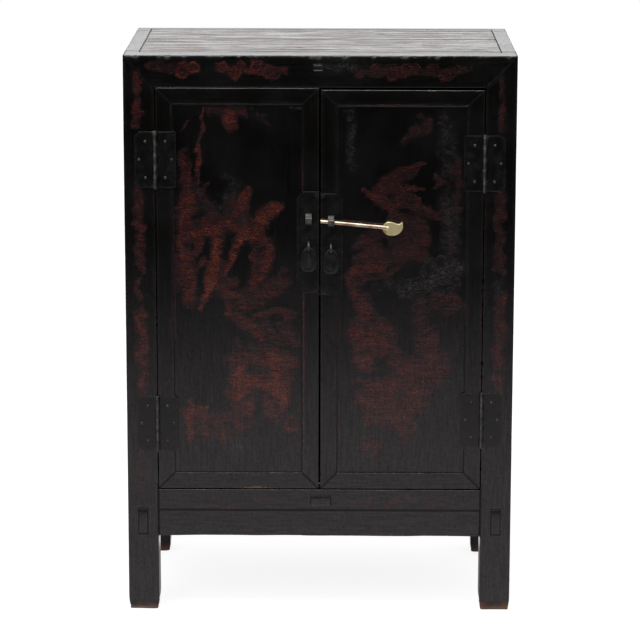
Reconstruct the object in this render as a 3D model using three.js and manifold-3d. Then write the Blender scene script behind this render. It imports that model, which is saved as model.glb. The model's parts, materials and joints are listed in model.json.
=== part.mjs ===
// A square-cornered lacquered cabinet whose corner posts run down to the floor as legs.
// Two mitred frame-and-panel doors hang on surface hinges and close with a sliding pin through two eyes.
// Millimetres: +X to the right, -Y to the front, +Z up. The origin is on the floor, under the middle.
import * as THREE from "three";
import { mergeVertices } from "three/addons/utils/BufferGeometryUtils.js";
import Module from "manifold-3d";

const wasm = await Module();
wasm.setup();

// Overall sizes
const caseWidth = 750;
const caseDepth = 440;
const caseHeight = 1100;
const legHeight = 150;

// Gaps and allowances
const joint = 0.3; // left at every shoulder, mitre, groove and mortise
const overrun = 5; // how far a cutter runs past what it cuts
const running = 0.3; // between a pin and the knuckle round it, and between knuckles
const housing = 7; // how deep a board's edge sits in its groove

// Case frame
const postWidth = 60;
const postDepth = 58;
const topRailHeight = 61;
const apronHeight = 54;
const apronThickness = 20;
const apronRecess = 2;
const sillHeight = 42;
const sillDepth = 45;
const endRailThickness = 42;
const lowerRailHeight = 106;
const backRailDepth = 40;
const stopHeight = 8; // the lip that a closed door rests against
const stopGap = 0.8;

// Top
const plankThickness = 18;
const frontStrip = 46; // what shows of each rail on the top
const backStrip = 22;
const endStrip = 28;
const plankSeam = 0.8;
const frontPlankShare = 0.56;
const topBraceWidth = 40;
const topBraceHeight = 24;
const topTenonWidth = 17;
const topTenonHeight = 10;
const braceOffset = -4;

// Floor and its brace
const boardThickness = 16;
const boardRise = 4; // top of the floor boards above the sill's front edge
const frontBoardShare = 0.5;
const bottomBraceWidth = 56;
const bottomBraceHeight = 25;
const bottomTenonWidth = 37;
const bottomTenonHeight = 18;
const bottomBraceOffset = 2.5;
const sideTenonWidth = 17;
const sideTenonHeight = 50;
const sideTenonInset = 21; // from the post's outer face to the tenon
const sideTenonRise = 6;

// Side and back panels
const panelRecess = 4;
const sidePanelThickness = 12;
const backPanelThickness = 10;
const backPanelInset = 12;
const backStileWidth = 40;
const backStileThickness = 24;
const backStileInset = 6;

// Shelf
const shelfShare = 0.5; // of the height between the sill and the top rail
const shelfThickness = 18;
const shelfSetback = 36;
const bearerHeight = 28;
const bearerWidth = 22;

// Doors
const doorThickness = 22;
const doorMember = 32;
const doorSideGap = 1;
const doorSeam = 3;
const doorBottomGap = 2.5;
const leftDoorTopGap = 1.5;
const rightDoorTopGap = 5; // the right door is a little shorter
const doorPanelRecess = 2;
const doorPanelThickness = 10;
const battenHeight = 40;
const battenThickness = 8;

// Hinges
const leafWidth = 40;
const leafHeight = 108;
const leafThickness = 1.5;
const postLeafChamfer = 9;
const doorLeafChamfer = 3;
const knuckleRadius = 4.2;
const knuckleStandoff = 0.3;
const knuckleCount = 5;
const hingePinRadius = 1.8;
const hingePinHeadRadius = 3.2;
const hingePinHeadHeight = 1.6;
const nailRadius = 3;
const nailHeight = 1.3;
const nailInnerOffset = 19;
const nailOuterOffset = 31;
const nailSpread = 35;
const upperLeftHingeDrop = 140; // from the top rail down to the hinge's middle
const upperRightHingeDrop = 146;
const lowerLeftHingeRise = 133; // from the sill up to the hinge's middle
const lowerRightHingeRise = 142;

// Lock plates, eyes and pin
const plateWidth = 43;
const plateHeight = 198;
const plateThickness = 1.2;
const plateChamfer = 12;
const plateDrop = 300; // from the top rail down to the plate's middle
const hardwareDrop = 4; // how much lower everything on the right door sits
const eyeOffset = 21.5; // from the middle of the cabinet
const eyeWidth = 12;
const eyeHeight = 24;
const eyeRise = 45.5; // above the plate's middle
const eyeBoreDrop = 1.2;
const eyeWall = 2.6;
const eyeRibs = 7;
const eyeRibHeight = 0.7;
const shankWidth = 6;
const shankHeight = 5;
const clinchReach = 15;
const clinchThickness = 2;
const rodRadius = 3.8;
const rodClearance = 0.5;
const rodStandoff = 2.2; // from the plate to the rod
const eyeSole = 0.6; // how far the shank runs up into the eye
const rodLength = 131;
const rodTipReach = 20; // of the rod past the right eye's middle, towards the seam
const slitWidth = 1;
const slitDepth = 1.2;
const slitLength = 96;
const headLength = 39;
const headHeight = 29;
const headThickness = 5;
const headEdge = 0.5;
const headOverlap = 12; // of the rod over the head
const headAxisShare = 0.5;

// The head's outline, a comma with its horn at the far end: shares of the head's length and height.
// Each curve has two guiding points and an end.
const commaStartShares = [0, 0.5];
const commaCurveShares = [
  [[0, 0.2], [0.18, 0], [0.42, 0]],
  [[0.76, 0], [1, 0.3], [1, 0.66]],
  [[1, 0.8], [0.98, 0.92], [0.93, 1]],
  [[0.88, 0.86], [0.78, 0.8], [0.66, 0.84]],
  [[0.54, 0.88], [0.46, 0.92], [0.36, 0.92]],
  [[0.16, 0.92], [0, 0.76], [0, 0.5]],
];

// Pulls
const loopDrop = 8; // below the plate's middle
const loopRadius = 8;
const wireRadius = 2.6;
const clinchRadius = 1.8;
const tabWidth = 32;
const tabTop = 0.6; // below the loop's centre
const tabHeight = 49;
const tabThickness = 2.2;
const tabEdge = 0.6;
const tabStandoff = 0.4;
const tabHoleRadius = 3.5;
const tabRecess = 0.6;
const tabRecessShare = 0.66;
const tabShoulderShare = 0.6;

// Numbers of facets
const rodSides = 18;
const nailSides = 12;
const nailRings = 3;
const wireSides = 12;
const loopSteps = 12;
const curveSteps = 8;
const ribSteps = 4;
const edgeSteps = 2;

// Levels and places that follow from the sizes above
const half = caseWidth / 2;
const openingHalf = half - postWidth;
const openingTop = caseHeight - topRailHeight;
const sillBottom = legHeight + apronHeight;
const sillTop = sillBottom + sillHeight;
const lowerRailTop = legHeight + lowerRailHeight;
const boardTop = sillTop + boardRise;
const boardBottom = boardTop - boardThickness;
const plankBottom = caseHeight - plankThickness;
const doorBottom = sillTop + doorBottomGap;
const shelfTop = sillTop + (openingTop - sillTop) * shelfShare;
const plateCentre = openingTop - plateDrop;
const eyeCentre = plateCentre + eyeRise;
const loopCentre = plateCentre - loopDrop;
const plateFront = -plateThickness;
const rodY = plateFront - rodStandoff - rodRadius;
const hingeY = -(knuckleRadius + knuckleStandoff);
const hingeX = openingHalf - doorSideGap / 2;
const rodTilt = Math.atan2(hardwareDrop, 2 * eyeOffset);
const LEFT = -1;
const RIGHT = 1;

// A three.js geometry as a solid, and a solid as a three.js geometry
function solidFrom(geometry) {
  const bare = geometry.clone();
  bare.deleteAttribute("normal");
  bare.deleteAttribute("uv");
  const merged = mergeVertices(bare);
  const mesh = new wasm.Mesh({
    numProp: 3,
    vertProperties: merged.attributes.position.array,
    triVerts: new Uint32Array(merged.index.array),
  });
  return new wasm.Manifold(mesh);
}

function geometryFrom(solid) {
  const mesh = solid.getMesh();
  const geometry = new THREE.BufferGeometry();
  geometry.setAttribute("position", new THREE.BufferAttribute(mesh.vertProperties, 3));
  geometry.setIndex(new THREE.BufferAttribute(mesh.triVerts, 1));
  geometry.computeVertexNormals();
  return geometry;
}

// A box is its two corners, so that the cut it needs can be grown from it.
function box(xs, ys, zs) {
  const ordered = [xs, ys, zs].map(([a, b]) => [Math.min(a, b), Math.max(a, b)]);
  return { low: ordered.map(([a]) => a), high: ordered.map(([, b]) => b) };
}

function grown(shape, by = joint) {
  return { low: shape.low.map((v) => v - by), high: shape.high.map((v) => v + by) };
}

function block(shape) {
  const size = shape.high.map((v, i) => v - shape.low[i]);
  const geometry = new THREE.BoxGeometry(...size);
  geometry.translate(...shape.low.map((v, i) => v + size[i] / 2));
  return solidFrom(geometry);
}

function cut(solid, ...shapes) {
  return shapes.reduce((left, shape) => left.subtract(block(shape)), solid);
}

function outline(points) {
  return new THREE.Shape(points.map(([u, v]) => new THREE.Vector2(u, v)));
}

// A front view (x, z) given its thickness from yFrom back to yTo, its rims eased by edge
function frontPrism(shape, yFrom, yTo, edge = 0) {
  const options = {
    depth: yTo - yFrom - 2 * edge,
    bevelEnabled: edge > 0,
    bevelThickness: edge,
    bevelSize: edge,
    bevelOffset: -edge,
    bevelSegments: edgeSteps,
    curveSegments: curveSteps,
  };
  const geometry = new THREE.ExtrudeGeometry(shape, options);
  const x = new THREE.Vector3(1, 0, 0);
  const y = new THREE.Vector3(0, 0, 1);
  const z = new THREE.Vector3(0, -1, 0);
  geometry.applyMatrix4(new THREE.Matrix4().makeBasis(x, y, z));
  geometry.translate(0, yTo - edge, 0);
  return solidFrom(geometry);
}

// A side view (y, z) given its width from xFrom to xTo
function sidePrism(shape, xFrom, xTo) {
  const options = { depth: xTo - xFrom, bevelEnabled: false };
  const geometry = new THREE.ExtrudeGeometry(shape, options);
  const x = new THREE.Vector3(0, 1, 0);
  const y = new THREE.Vector3(0, 0, 1);
  const z = new THREE.Vector3(1, 0, 0);
  geometry.applyMatrix4(new THREE.Matrix4().makeBasis(x, y, z));
  geometry.translate(xFrom, 0, 0);
  return solidFrom(geometry);
}

function rod(from, to, radius, sides = rodSides) {
  const start = new THREE.Vector3(...from);
  const end = new THREE.Vector3(...to);
  const along = end.clone().sub(start);
  const geometry = new THREE.CylinderGeometry(radius, radius, along.length(), sides);
  const turn = new THREE.Quaternion();
  turn.setFromUnitVectors(new THREE.Vector3(0, 1, 0), along.clone().normalize());
  geometry.applyQuaternion(turn);
  geometry.translate(...start.add(end).multiplyScalar(1 / 2));
  return solidFrom(geometry);
}

// Corner posts, top rails and everything that joins them
const postBoxes = [];
for (const side of [LEFT, RIGHT]) {
  for (const y of [0, caseDepth - postDepth]) {
    postBoxes.push(box([side * openingHalf, side * half], [y, y + postDepth], [0, caseHeight]));
  }
}

function sidePanelBox(side) {
  const outer = half - panelRecess;
  return box(
    [side * outer, side * (outer - sidePanelThickness)],
    [postDepth - housing, caseDepth - postDepth + housing],
    [lowerRailTop - housing, openingTop + housing],
  );
}

function backPanelBox(side) {
  const back = caseDepth - backPanelInset;
  return box(
    [side * (backStileWidth / 2 - housing), side * (openingHalf + housing)],
    [back - backPanelThickness, back],
    [lowerRailTop - housing, openingTop + housing],
  );
}

const backStileBox = box(
  [-backStileWidth / 2, backStileWidth / 2],
  [caseDepth - backStileInset - backStileThickness, caseDepth - backStileInset],
  [lowerRailTop - housing, openingTop + housing],
);

function sideTenonBox(side) {
  const outer = half - sideTenonInset;
  const bottom = legHeight + sideTenonRise;
  return box(
    [side * outer, side * (outer - sideTenonWidth)],
    [0, postDepth + overrun],
    [bottom, bottom + sideTenonHeight],
  );
}

function post(side, atBack) {
  const y = atBack ? caseDepth - postDepth : 0;
  const face = outline([
    [side * half, 0],
    [side * openingHalf, 0],
    [side * openingHalf, openingTop],
    [side * half, caseHeight],
  ]);
  const solid = cut(frontPrism(face, y, y + postDepth), grown(sidePanelBox(side)));
  if (atBack) return cut(solid, grown(backPanelBox(side)));
  return cut(solid, grown(sideTenonBox(side)));
}

const plankField = box(
  [-(half - endStrip), half - endStrip],
  [frontStrip, caseDepth - backStrip],
  [plankBottom, caseHeight + overrun],
);

const topBraceTop = plankBottom - joint;
const topBraceBox = box(
  [braceOffset - topBraceWidth / 2, braceOffset + topBraceWidth / 2],
  [postDepth - housing, caseDepth - postDepth + housing],
  [topBraceTop - topBraceHeight, topBraceTop],
);
const topTenonBox = box(
  [braceOffset - topTenonWidth / 2, braceOffset + topTenonWidth / 2],
  [0, postDepth],
  [topBraceTop - topTenonHeight, topBraceTop],
);

function topLongRail(atBack) {
  const y = atBack ? caseDepth - postDepth : 0;
  const face = outline([
    [-(half - joint), caseHeight],
    [half - joint, caseHeight],
    [openingHalf - joint, openingTop],
    [-(openingHalf - joint), openingTop],
  ]);
  const solid = cut(frontPrism(face, y, y + postDepth), grown(plankField), grown(topBraceBox));
  if (atBack) {
    return cut(solid, grown(backPanelBox(LEFT)), grown(backPanelBox(RIGHT)), grown(backStileBox));
  }
  const stop = box(
    [-(openingHalf - joint), openingHalf - joint],
    [doorThickness + stopGap, postDepth],
    [openingTop - stopHeight, openingTop + joint],
  );
  return cut(solid.add(block(stop)), grown(topTenonBox));
}

function topEndRail(side) {
  const rail = box(
    [side * half, side * (half - endRailThickness)],
    [postDepth + joint, caseDepth - postDepth - joint],
    [openingTop, caseHeight],
  );
  return cut(block(rail), grown(plankField), grown(sidePanelBox(side)));
}

const plankSpan = caseDepth - backStrip - frontStrip;
const plankSeamY = frontStrip + plankSpan * frontPlankShare;

function topPlank(atBack) {
  const ys = atBack
    ? [plankSeamY + plankSeam / 2, caseDepth - backStrip]
    : [frontStrip, plankSeamY - plankSeam / 2];
  return block(box([-(half - endStrip), half - endStrip], ys, [plankBottom, caseHeight]));
}

const topBrace = block(topBraceBox).add(block(topTenonBox));

// Sill, apron, lower rails and floor
const boardsFrontY = sillDepth - housing;
const boardsBackY = caseDepth - backRailDepth + housing;
const boardsHalf = half - endRailThickness + housing;
const boardField = box(
  [-boardsHalf, boardsHalf],
  [boardsFrontY, boardsBackY],
  [boardBottom, boardTop],
);

const bottomBraceTop = boardBottom - joint;
const bottomBraceBox = box(
  [bottomBraceOffset - bottomBraceWidth / 2, bottomBraceOffset + bottomBraceWidth / 2],
  [sillDepth - housing, caseDepth - backRailDepth + housing],
  [bottomBraceTop - bottomBraceHeight, bottomBraceTop],
);
const bottomTenonTop = bottomBraceTop - joint;
const bottomTenonBox = box(
  [bottomBraceOffset - bottomTenonWidth / 2, bottomBraceOffset + bottomTenonWidth / 2],
  [0, sillDepth],
  [bottomTenonTop - bottomTenonHeight, bottomTenonTop],
);
const bottomBrace = block(bottomBraceBox).add(block(bottomTenonBox));

function sillRail() {
  const across = [-(openingHalf - joint), openingHalf - joint];
  const rail = block(box(across, [0, sillDepth], [sillBottom + joint, sillTop]));
  const stop = box(
    across,
    [doorThickness + stopGap, sillDepth],
    [sillBottom + joint, sillTop + stopHeight],
  );
  const mortises = [boardField, bottomBraceBox, bottomTenonBox];
  return cut(rail.add(block(stop)), ...mortises.map((shape) => grown(shape)));
}

const frontApron = block(
  box(
    [-(openingHalf - joint), openingHalf - joint],
    [apronRecess, apronRecess + apronThickness],
    [legHeight, sillBottom],
  ),
);

function lowerSideRail(side) {
  const rail = box(
    [side * half, side * (half - endRailThickness)],
    [postDepth + joint, caseDepth - postDepth - joint],
    [legHeight, lowerRailTop],
  );
  const solid = cut(block(rail), grown(sidePanelBox(side)), grown(boardField));
  return solid.add(block(sideTenonBox(side)));
}

function backLowerRail() {
  const rail = box(
    [-(openingHalf - joint), openingHalf - joint],
    [caseDepth - backRailDepth, caseDepth],
    [legHeight, lowerRailTop],
  );
  const grooves = [backPanelBox(LEFT), backPanelBox(RIGHT), backStileBox, boardField, bottomBraceBox];
  return cut(block(rail), ...grooves.map((shape) => grown(shape)));
}

const boardSeamY = boardsFrontY + (boardsBackY - boardsFrontY) * frontBoardShare;

function floorBoard(atBack) {
  const ys = atBack ? [boardSeamY + joint, boardsBackY] : [boardsFrontY, boardSeamY - joint];
  const board = box([-boardsHalf, boardsHalf], ys, [boardBottom, boardTop]);
  return cut(block(board), ...postBoxes.map((shape) => grown(shape)));
}

function backStile() {
  return cut(block(backStileBox), grown(backPanelBox(LEFT)), grown(backPanelBox(RIGHT)));
}

// Shelf on two bearers
const panelInner = half - panelRecess - sidePanelThickness;
const shelfBottom = shelfTop - shelfThickness;

function shelf() {
  const board = box(
    [-(panelInner - joint), panelInner - joint],
    [shelfSetback, caseDepth - backStileInset - backStileThickness - joint],
    [shelfBottom, shelfTop],
  );
  return cut(block(board), ...postBoxes.map((shape) => grown(shape)));
}

function shelfBearer(side) {
  const outer = panelInner - joint;
  return block(
    box(
      [side * outer, side * (outer - bearerWidth)],
      [postDepth + joint, caseDepth - postDepth - joint],
      [shelfBottom - joint - bearerHeight, shelfBottom - joint],
    ),
  );
}

// Doors: distances from the middle of the cabinet are given for the right door and mirrored for the left.
const doorInner = doorSeam / 2;
const doorOuter = openingHalf - doorSideGap;

function doorTop(side) {
  return openingTop - (side === LEFT ? leftDoorTopGap : rightDoorTopGap);
}

function doorPanelBox(side) {
  return box(
    [side * (doorInner + doorMember - housing), side * (doorOuter - doorMember + housing)],
    [doorPanelRecess, doorPanelRecess + doorPanelThickness],
    [doorBottom + doorMember - housing, doorTop(side) - doorMember + housing],
  );
}

function battenBox(side) {
  const middle = (doorBottom + doorTop(side)) / 2;
  const front = doorPanelRecess + doorPanelThickness + joint;
  return box(
    [side * (doorInner + doorMember - housing), side * (doorOuter - doorMember + housing)],
    [front, front + battenThickness],
    [middle - battenHeight / 2, middle + battenHeight / 2],
  );
}

function doorMemberSolid(side, points) {
  const face = outline(points.map(([x, z]) => [side * x, z]));
  const solid = frontPrism(face, 0, doorThickness);
  return cut(solid, grown(doorPanelBox(side)), grown(battenBox(side)));
}

function doorStile(side, edge) {
  const inward = edge === doorInner ? doorMember : -doorMember;
  const top = doorTop(side);
  return doorMemberSolid(side, [
    [edge, doorBottom],
    [edge, top],
    [edge + inward, top - doorMember],
    [edge + inward, doorBottom + doorMember],
  ]);
}

function doorRail(side, atTop) {
  const outerZ = atTop ? doorTop(side) : doorBottom;
  const innerZ = atTop ? outerZ - doorMember : outerZ + doorMember;
  return doorMemberSolid(side, [
    [doorInner + joint, outerZ],
    [doorOuter - joint, outerZ],
    [doorOuter - joint - doorMember, innerZ],
    [doorInner + joint + doorMember, innerZ],
  ]);
}

// Surface hinges: octagonal leaves with interleaved knuckles on a headed pin
const knuckleHeight = leafHeight / knuckleCount;

function knuckleSpan(centre, index) {
  const bottom = centre - leafHeight / 2 + index * knuckleHeight;
  return [bottom, bottom + knuckleHeight];
}

function nailHead(x, z) {
  const sunk = -leafThickness / 2;
  const profile = [new THREE.Vector2(0, sunk), new THREE.Vector2(nailRadius, sunk)];
  for (let i = 0; i <= nailRings; i++) {
    const angle = (i / nailRings) * (Math.PI / 2);
    profile.push(new THREE.Vector2(nailRadius * Math.cos(angle), nailHeight * Math.sin(angle)));
  }
  profile[profile.length - 1].x = 0;
  const geometry = new THREE.LatheGeometry(profile, nailSides);
  geometry.rotateX(Math.PI);
  geometry.translate(x, -leafThickness, z);
  return solidFrom(geometry);
}

function hingeLeaf(side, away, centre, chamfer, ownParity) {
  const axis = side * hingeX;
  const reach = (distance) => axis + away * distance;
  const top = centre + leafHeight / 2;
  const bottom = centre - leafHeight / 2;
  const plate = outline([
    [reach(running), bottom],
    [reach(leafWidth - chamfer), bottom],
    [reach(leafWidth), bottom + chamfer],
    [reach(leafWidth), top - chamfer],
    [reach(leafWidth - chamfer), top],
    [reach(running), top],
  ]);
  let leaf = frontPrism(plate, -leafThickness, 0);
  const room = knuckleRadius + 2 * running;
  for (let index = 0; index < knuckleCount; index++) {
    const [low, high] = knuckleSpan(centre, index);
    if (index % 2 === ownParity) {
      const shell = [low + running / 2, high - running / 2];
      leaf = leaf.add(rod([axis, hingeY, shell[0]], [axis, hingeY, shell[1]], knuckleRadius));
    } else {
      const across = [reach(-room), reach(room)];
      const through = [-leafThickness - overrun, overrun];
      leaf = cut(leaf, box(across, through, [low - running, high + running]));
    }
  }
  const bore = hingePinRadius + running;
  leaf = leaf.subtract(rod([axis, hingeY, bottom - overrun], [axis, hingeY, top + overrun], bore));
  const nails = [
    [nailInnerOffset, nailSpread],
    [nailOuterOffset, 0],
    [nailInnerOffset, -nailSpread],
  ];
  for (const [distance, rise] of nails) {
    leaf = leaf.add(nailHead(reach(distance), centre + rise));
  }
  return leaf;
}

function hingePin(side, centre) {
  const axis = side * hingeX;
  const ends = [centre - leafHeight / 2, centre + leafHeight / 2];
  let pin = rod([axis, hingeY, ends[0] - joint], [axis, hingeY, ends[1] + joint], hingePinRadius);
  const outward = [-1, 1];
  ends.forEach((end, i) => {
    const seat = end + outward[i] * joint;
    const tip = seat + outward[i] * hingePinHeadHeight;
    const [low, high] = [Math.min(seat, tip), Math.max(seat, tip)];
    pin = pin.add(rod([axis, hingeY, low], [axis, hingeY, high], hingePinHeadRadius));
  });
  return pin;
}

// Lock plates, ribbed eyes and the pin that slides through them
function drop(side) {
  return side === RIGHT ? hardwareDrop : 0;
}

function shankBox(side) {
  const x = side * eyeOffset;
  const z = eyeCentre - drop(side);
  return box(
    [x - shankWidth / 2, x + shankWidth / 2],
    [plateFront - joint - eyeSole, doorThickness + joint + eyeSole],
    [z - shankHeight / 2, z + shankHeight / 2],
  );
}

function loopLegs(side, radius) {
  const x = side * eyeOffset;
  const centre = loopCentre - drop(side);
  const back = doorThickness + joint + clinchRadius;
  return [-loopRadius, loopRadius]
    .map((rise) => rod([x, tabY, centre + rise], [x, back, centre + rise], radius, wireSides))
    .reduce((all, leg) => all.add(leg));
}

function lockPlate(side) {
  const top = plateCentre + plateHeight / 2 - drop(side);
  const bottom = top - plateHeight;
  const far = doorInner + plateWidth;
  const points = [
    [doorInner, bottom],
    [far - plateChamfer, bottom],
    [far, bottom + plateChamfer],
    [far, top - plateChamfer],
    [far - plateChamfer, top],
    [doorInner, top],
  ];
  const plate = frontPrism(outline(points.map(([x, z]) => [side * x, z])), plateFront, 0);
  return cut(plate, grown(shankBox(side))).subtract(loopLegs(side, wireRadius + joint));
}

const boreRadius = rodRadius + rodClearance;
const eyeDepth = rodStandoff + rodRadius + boreRadius + eyeWall;
const rodAxis = new THREE.Vector3(Math.cos(rodTilt), 0, -Math.sin(rodTilt));
const rightBore = new THREE.Vector3(eyeOffset, rodY, eyeCentre - hardwareDrop - eyeBoreDrop);

function alongRod(distance) {
  return rightBore.clone().addScaledVector(rodAxis, distance).toArray();
}

function lockEye(side) {
  const x = side * eyeOffset;
  const z = eyeCentre - drop(side);
  const points = [];
  const steps = eyeRibs * ribSteps;
  for (let i = 0; i <= steps; i++) {
    const angle = Math.PI * (i / steps - 1 / 2);
    const rib = eyeRibHeight * (Math.cos(2 * eyeRibs * (angle + Math.PI / 2)) / 2 - 1 / 2);
    const y = plateFront - joint - (eyeDepth - joint + rib) * Math.cos(angle);
    points.push([y, z + (eyeHeight / 2 + rib) * Math.sin(angle)]);
  }
  const eye = sidePrism(outline(points), x - eyeWidth / 2, x + eyeWidth / 2);
  const farSide = 2 * eyeOffset + eyeWidth;
  const bored = eye.subtract(rod(alongRod(-farSide), alongRod(eyeWidth), boreRadius));
  const back = doorThickness + joint;
  const clinch = box(
    [x - shankWidth / 2, x + shankWidth / 2],
    [back, back + clinchThickness],
    [z - clinchReach, z + clinchReach],
  );
  return bored.add(block(shankBox(side))).add(block(clinch));
}

function pinHead() {
  const place = ([along, up]) => [along * headLength, (up - headAxisShare) * headHeight];
  const comma = new THREE.Shape();
  comma.moveTo(...place(commaStartShares));
  for (const curve of commaCurveShares) comma.bezierCurveTo(...curve.flatMap(place));
  return frontPrism(comma, -headThickness / 2, headThickness / 2, headEdge);
}

function lockPin() {
  const shaft = rod([0, 0, 0], [rodLength, 0, 0], rodRadius);
  const slit = box(
    [-overrun, slitLength],
    [-rodRadius - overrun, -rodRadius + slitDepth],
    [-slitWidth / 2, slitWidth / 2],
  );
  const headStart = rodLength - headOverlap;
  const head = geometryFrom(pinHead()).translate(headStart, 0, 0);
  const geometry = geometryFrom(cut(shaft, slit).add(solidFrom(head)));
  geometry.rotateY(rodTilt);
  geometry.translate(...alongRod(-rodTipReach));
  return solidFrom(geometry);
}

// Pulls: a wire loop clinched through the door, with a tab hanging in it
const tabY = plateFront - tabStandoff - tabThickness / 2;

function pullLoop(side) {
  const x = side * eyeOffset;
  const centre = loopCentre - drop(side);
  const arc = [];
  for (let i = 0; i <= loopSteps; i++) {
    const angle = Math.PI * (i / loopSteps - 1 / 2);
    const y = tabY - loopRadius * Math.cos(angle);
    arc.push(new THREE.Vector3(x, y, centre + loopRadius * Math.sin(angle)));
  }
  const section = new THREE.Shape().absarc(0, 0, wireRadius, 0, 2 * Math.PI);
  const extrudePath = new THREE.CatmullRomCurve3(arc);
  const options = { steps: loopSteps, extrudePath, curveSegments: wireSides / 2 };
  const bow = solidFrom(new THREE.ExtrudeGeometry(section, options));
  const back = doorThickness + joint + clinchRadius;
  const clinches = [-1, 1].map((way) => {
    const start = centre + way * (loopRadius - wireRadius / 2);
    const end = centre + way * (loopRadius + clinchReach);
    return rod([x, back, start], [x, back, end], clinchRadius, wireSides);
  });
  return clinches.reduce((all, clinch) => all.add(clinch), bow.add(loopLegs(side, wireRadius)));
}

function tabOutline(scale) {
  const w = (tabWidth / 2) * scale;
  const top = (tabHeight / 2) * scale;
  const shoulder = top - 2 * top * tabShoulderShare;
  const bow = top * tabShoulderShare;
  const shape = new THREE.Shape();
  shape.moveTo(0, top);
  shape.bezierCurveTo(w * tabShoulderShare, top, w, shoulder + bow, w, shoulder);
  shape.bezierCurveTo(w, shoulder - bow, w * tabShoulderShare, -top, 0, -top);
  shape.bezierCurveTo(-w * tabShoulderShare, -top, -w, shoulder - bow, -w, shoulder);
  shape.bezierCurveTo(-w, shoulder + bow, -w * tabShoulderShare, top, 0, top);
  return shape;
}

function pullTab(side) {
  const x = side * eyeOffset;
  const pivot = loopCentre - drop(side);
  const front = tabY - tabThickness / 2;
  const middle = pivot - tabTop - tabHeight / 2;
  const plate = frontPrism(tabOutline(1), front, front + tabThickness, tabEdge);
  const dish = frontPrism(tabOutline(tabRecessShare), front - overrun, front + tabRecess);
  const placed = geometryFrom(plate.subtract(dish)).translate(x, 0, middle);
  const hole = pivot - loopRadius;
  const cutter = rod([x, front - overrun, hole], [x, tabY + overrun, hole], tabHoleRadius, wireSides);
  return solidFrom(placed).subtract(cutter);
}

// Materials
const lacquer = new THREE.MeshStandardMaterial({ color: 0x1d1714, roughness: 0.4, metalness: 0 });
const panelLacquer = new THREE.MeshStandardMaterial({ color: 0x2a1712, roughness: 0.45, metalness: 0 });
const bareWood = new THREE.MeshStandardMaterial({ color: 0x6a4a33, roughness: 0.8, metalness: 0 });
const iron = new THREE.MeshStandardMaterial({ color: 0x2b2a2a, roughness: 0.5, metalness: 0.8 });
const paleBrass = new THREE.MeshStandardMaterial({ color: 0xd8cba6, roughness: 0.35, metalness: 0.9 });

const root = new THREE.Group();

function piece(name, solid, material, parent = root) {
  const mesh = new THREE.Mesh(geometryFrom(solid), material);
  mesh.name = name;
  parent.add(mesh);
}

// Assembly
for (const [side, hand] of [[LEFT, "left"], [RIGHT, "right"]]) {
  piece(`post_front_${hand}`, post(side, false), lacquer);
  piece(`post_back_${hand}`, post(side, true), lacquer);
  piece(`top_end_rail_${hand}`, topEndRail(side), lacquer);
  piece(`lower_side_rail_${hand}`, lowerSideRail(side), lacquer);
  piece(`side_panel_${hand}`, block(sidePanelBox(side)), lacquer);
  piece(`back_panel_${hand}`, block(backPanelBox(side)), bareWood);
  piece(`shelf_bearer_${hand}`, shelfBearer(side), bareWood);
}
piece("top_front_rail", topLongRail(false), lacquer);
piece("top_back_rail", topLongRail(true), lacquer);
piece("top_plank_front", topPlank(false), lacquer);
piece("top_plank_back", topPlank(true), lacquer);
piece("top_brace", topBrace, bareWood);
piece("sill_rail", sillRail(), lacquer);
piece("front_apron", frontApron, lacquer);
piece("back_lower_rail", backLowerRail(), lacquer);
piece("back_stile", backStile(), bareWood);
piece("bottom_brace", bottomBrace, bareWood);
piece("floor_board_front", floorBoard(false), bareWood);
piece("floor_board_back", floorBoard(true), bareWood);
piece("shelf", shelf(), bareWood);

const hingeCentres = {
  left: { upper: openingTop - upperLeftHingeDrop, lower: sillTop + lowerLeftHingeRise },
  right: { upper: openingTop - upperRightHingeDrop, lower: sillTop + lowerRightHingeRise },
};

for (const [side, hand] of [[LEFT, "left"], [RIGHT, "right"]]) {
  const door = new THREE.Group();
  root.add(door);
  const solidStile = doorStile(side, doorInner);
  const meetingStile = cut(solidStile, grown(shankBox(side))).subtract(loopLegs(side, wireRadius + joint));
  piece(`${hand}_door_hinge_stile`, doorStile(side, doorOuter), lacquer, door);
  piece(`${hand}_door_meeting_stile`, meetingStile, lacquer, door);
  piece(`${hand}_door_top_rail`, doorRail(side, true), lacquer, door);
  piece(`${hand}_door_bottom_rail`, doorRail(side, false), lacquer, door);
  piece(`${hand}_door_panel`, block(doorPanelBox(side)), panelLacquer, door);
  piece(`${hand}_door_batten`, block(battenBox(side)), bareWood, door);
  for (const [level, centre] of Object.entries(hingeCentres[hand])) {
    const postLeaf = hingeLeaf(side, side, centre, postLeafChamfer, 0);
    const doorLeaf = hingeLeaf(side, -side, centre, doorLeafChamfer, 1);
    piece(`${level}_${hand}_hinge_post_leaf`, postLeaf, iron);
    piece(`${level}_${hand}_hinge_door_leaf`, doorLeaf, iron, door);
    piece(`${level}_${hand}_hinge_pin`, hingePin(side, centre), iron);
  }
  piece(`${hand}_lock_plate`, lockPlate(side), iron, door);
  piece(`${hand}_lock_eye`, lockEye(side), iron, door);
  piece(`${hand}_pull_loop`, pullLoop(side), iron, door);
  piece(`${hand}_pull_tab`, pullTab(side), iron, door);
}
piece("lock_pin", lockPin(), paleBrass);

// The origin is centred under the whole cabinet, hardware included.
const extent = new THREE.Box3().setFromObject(root);
root.position.y = -(extent.min.y + extent.max.y) / 2;

export default root;
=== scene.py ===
import json
import math
from itertools import product

import bmesh
import bpy
import numpy as np
from mathutils import Matrix, Vector


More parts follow.
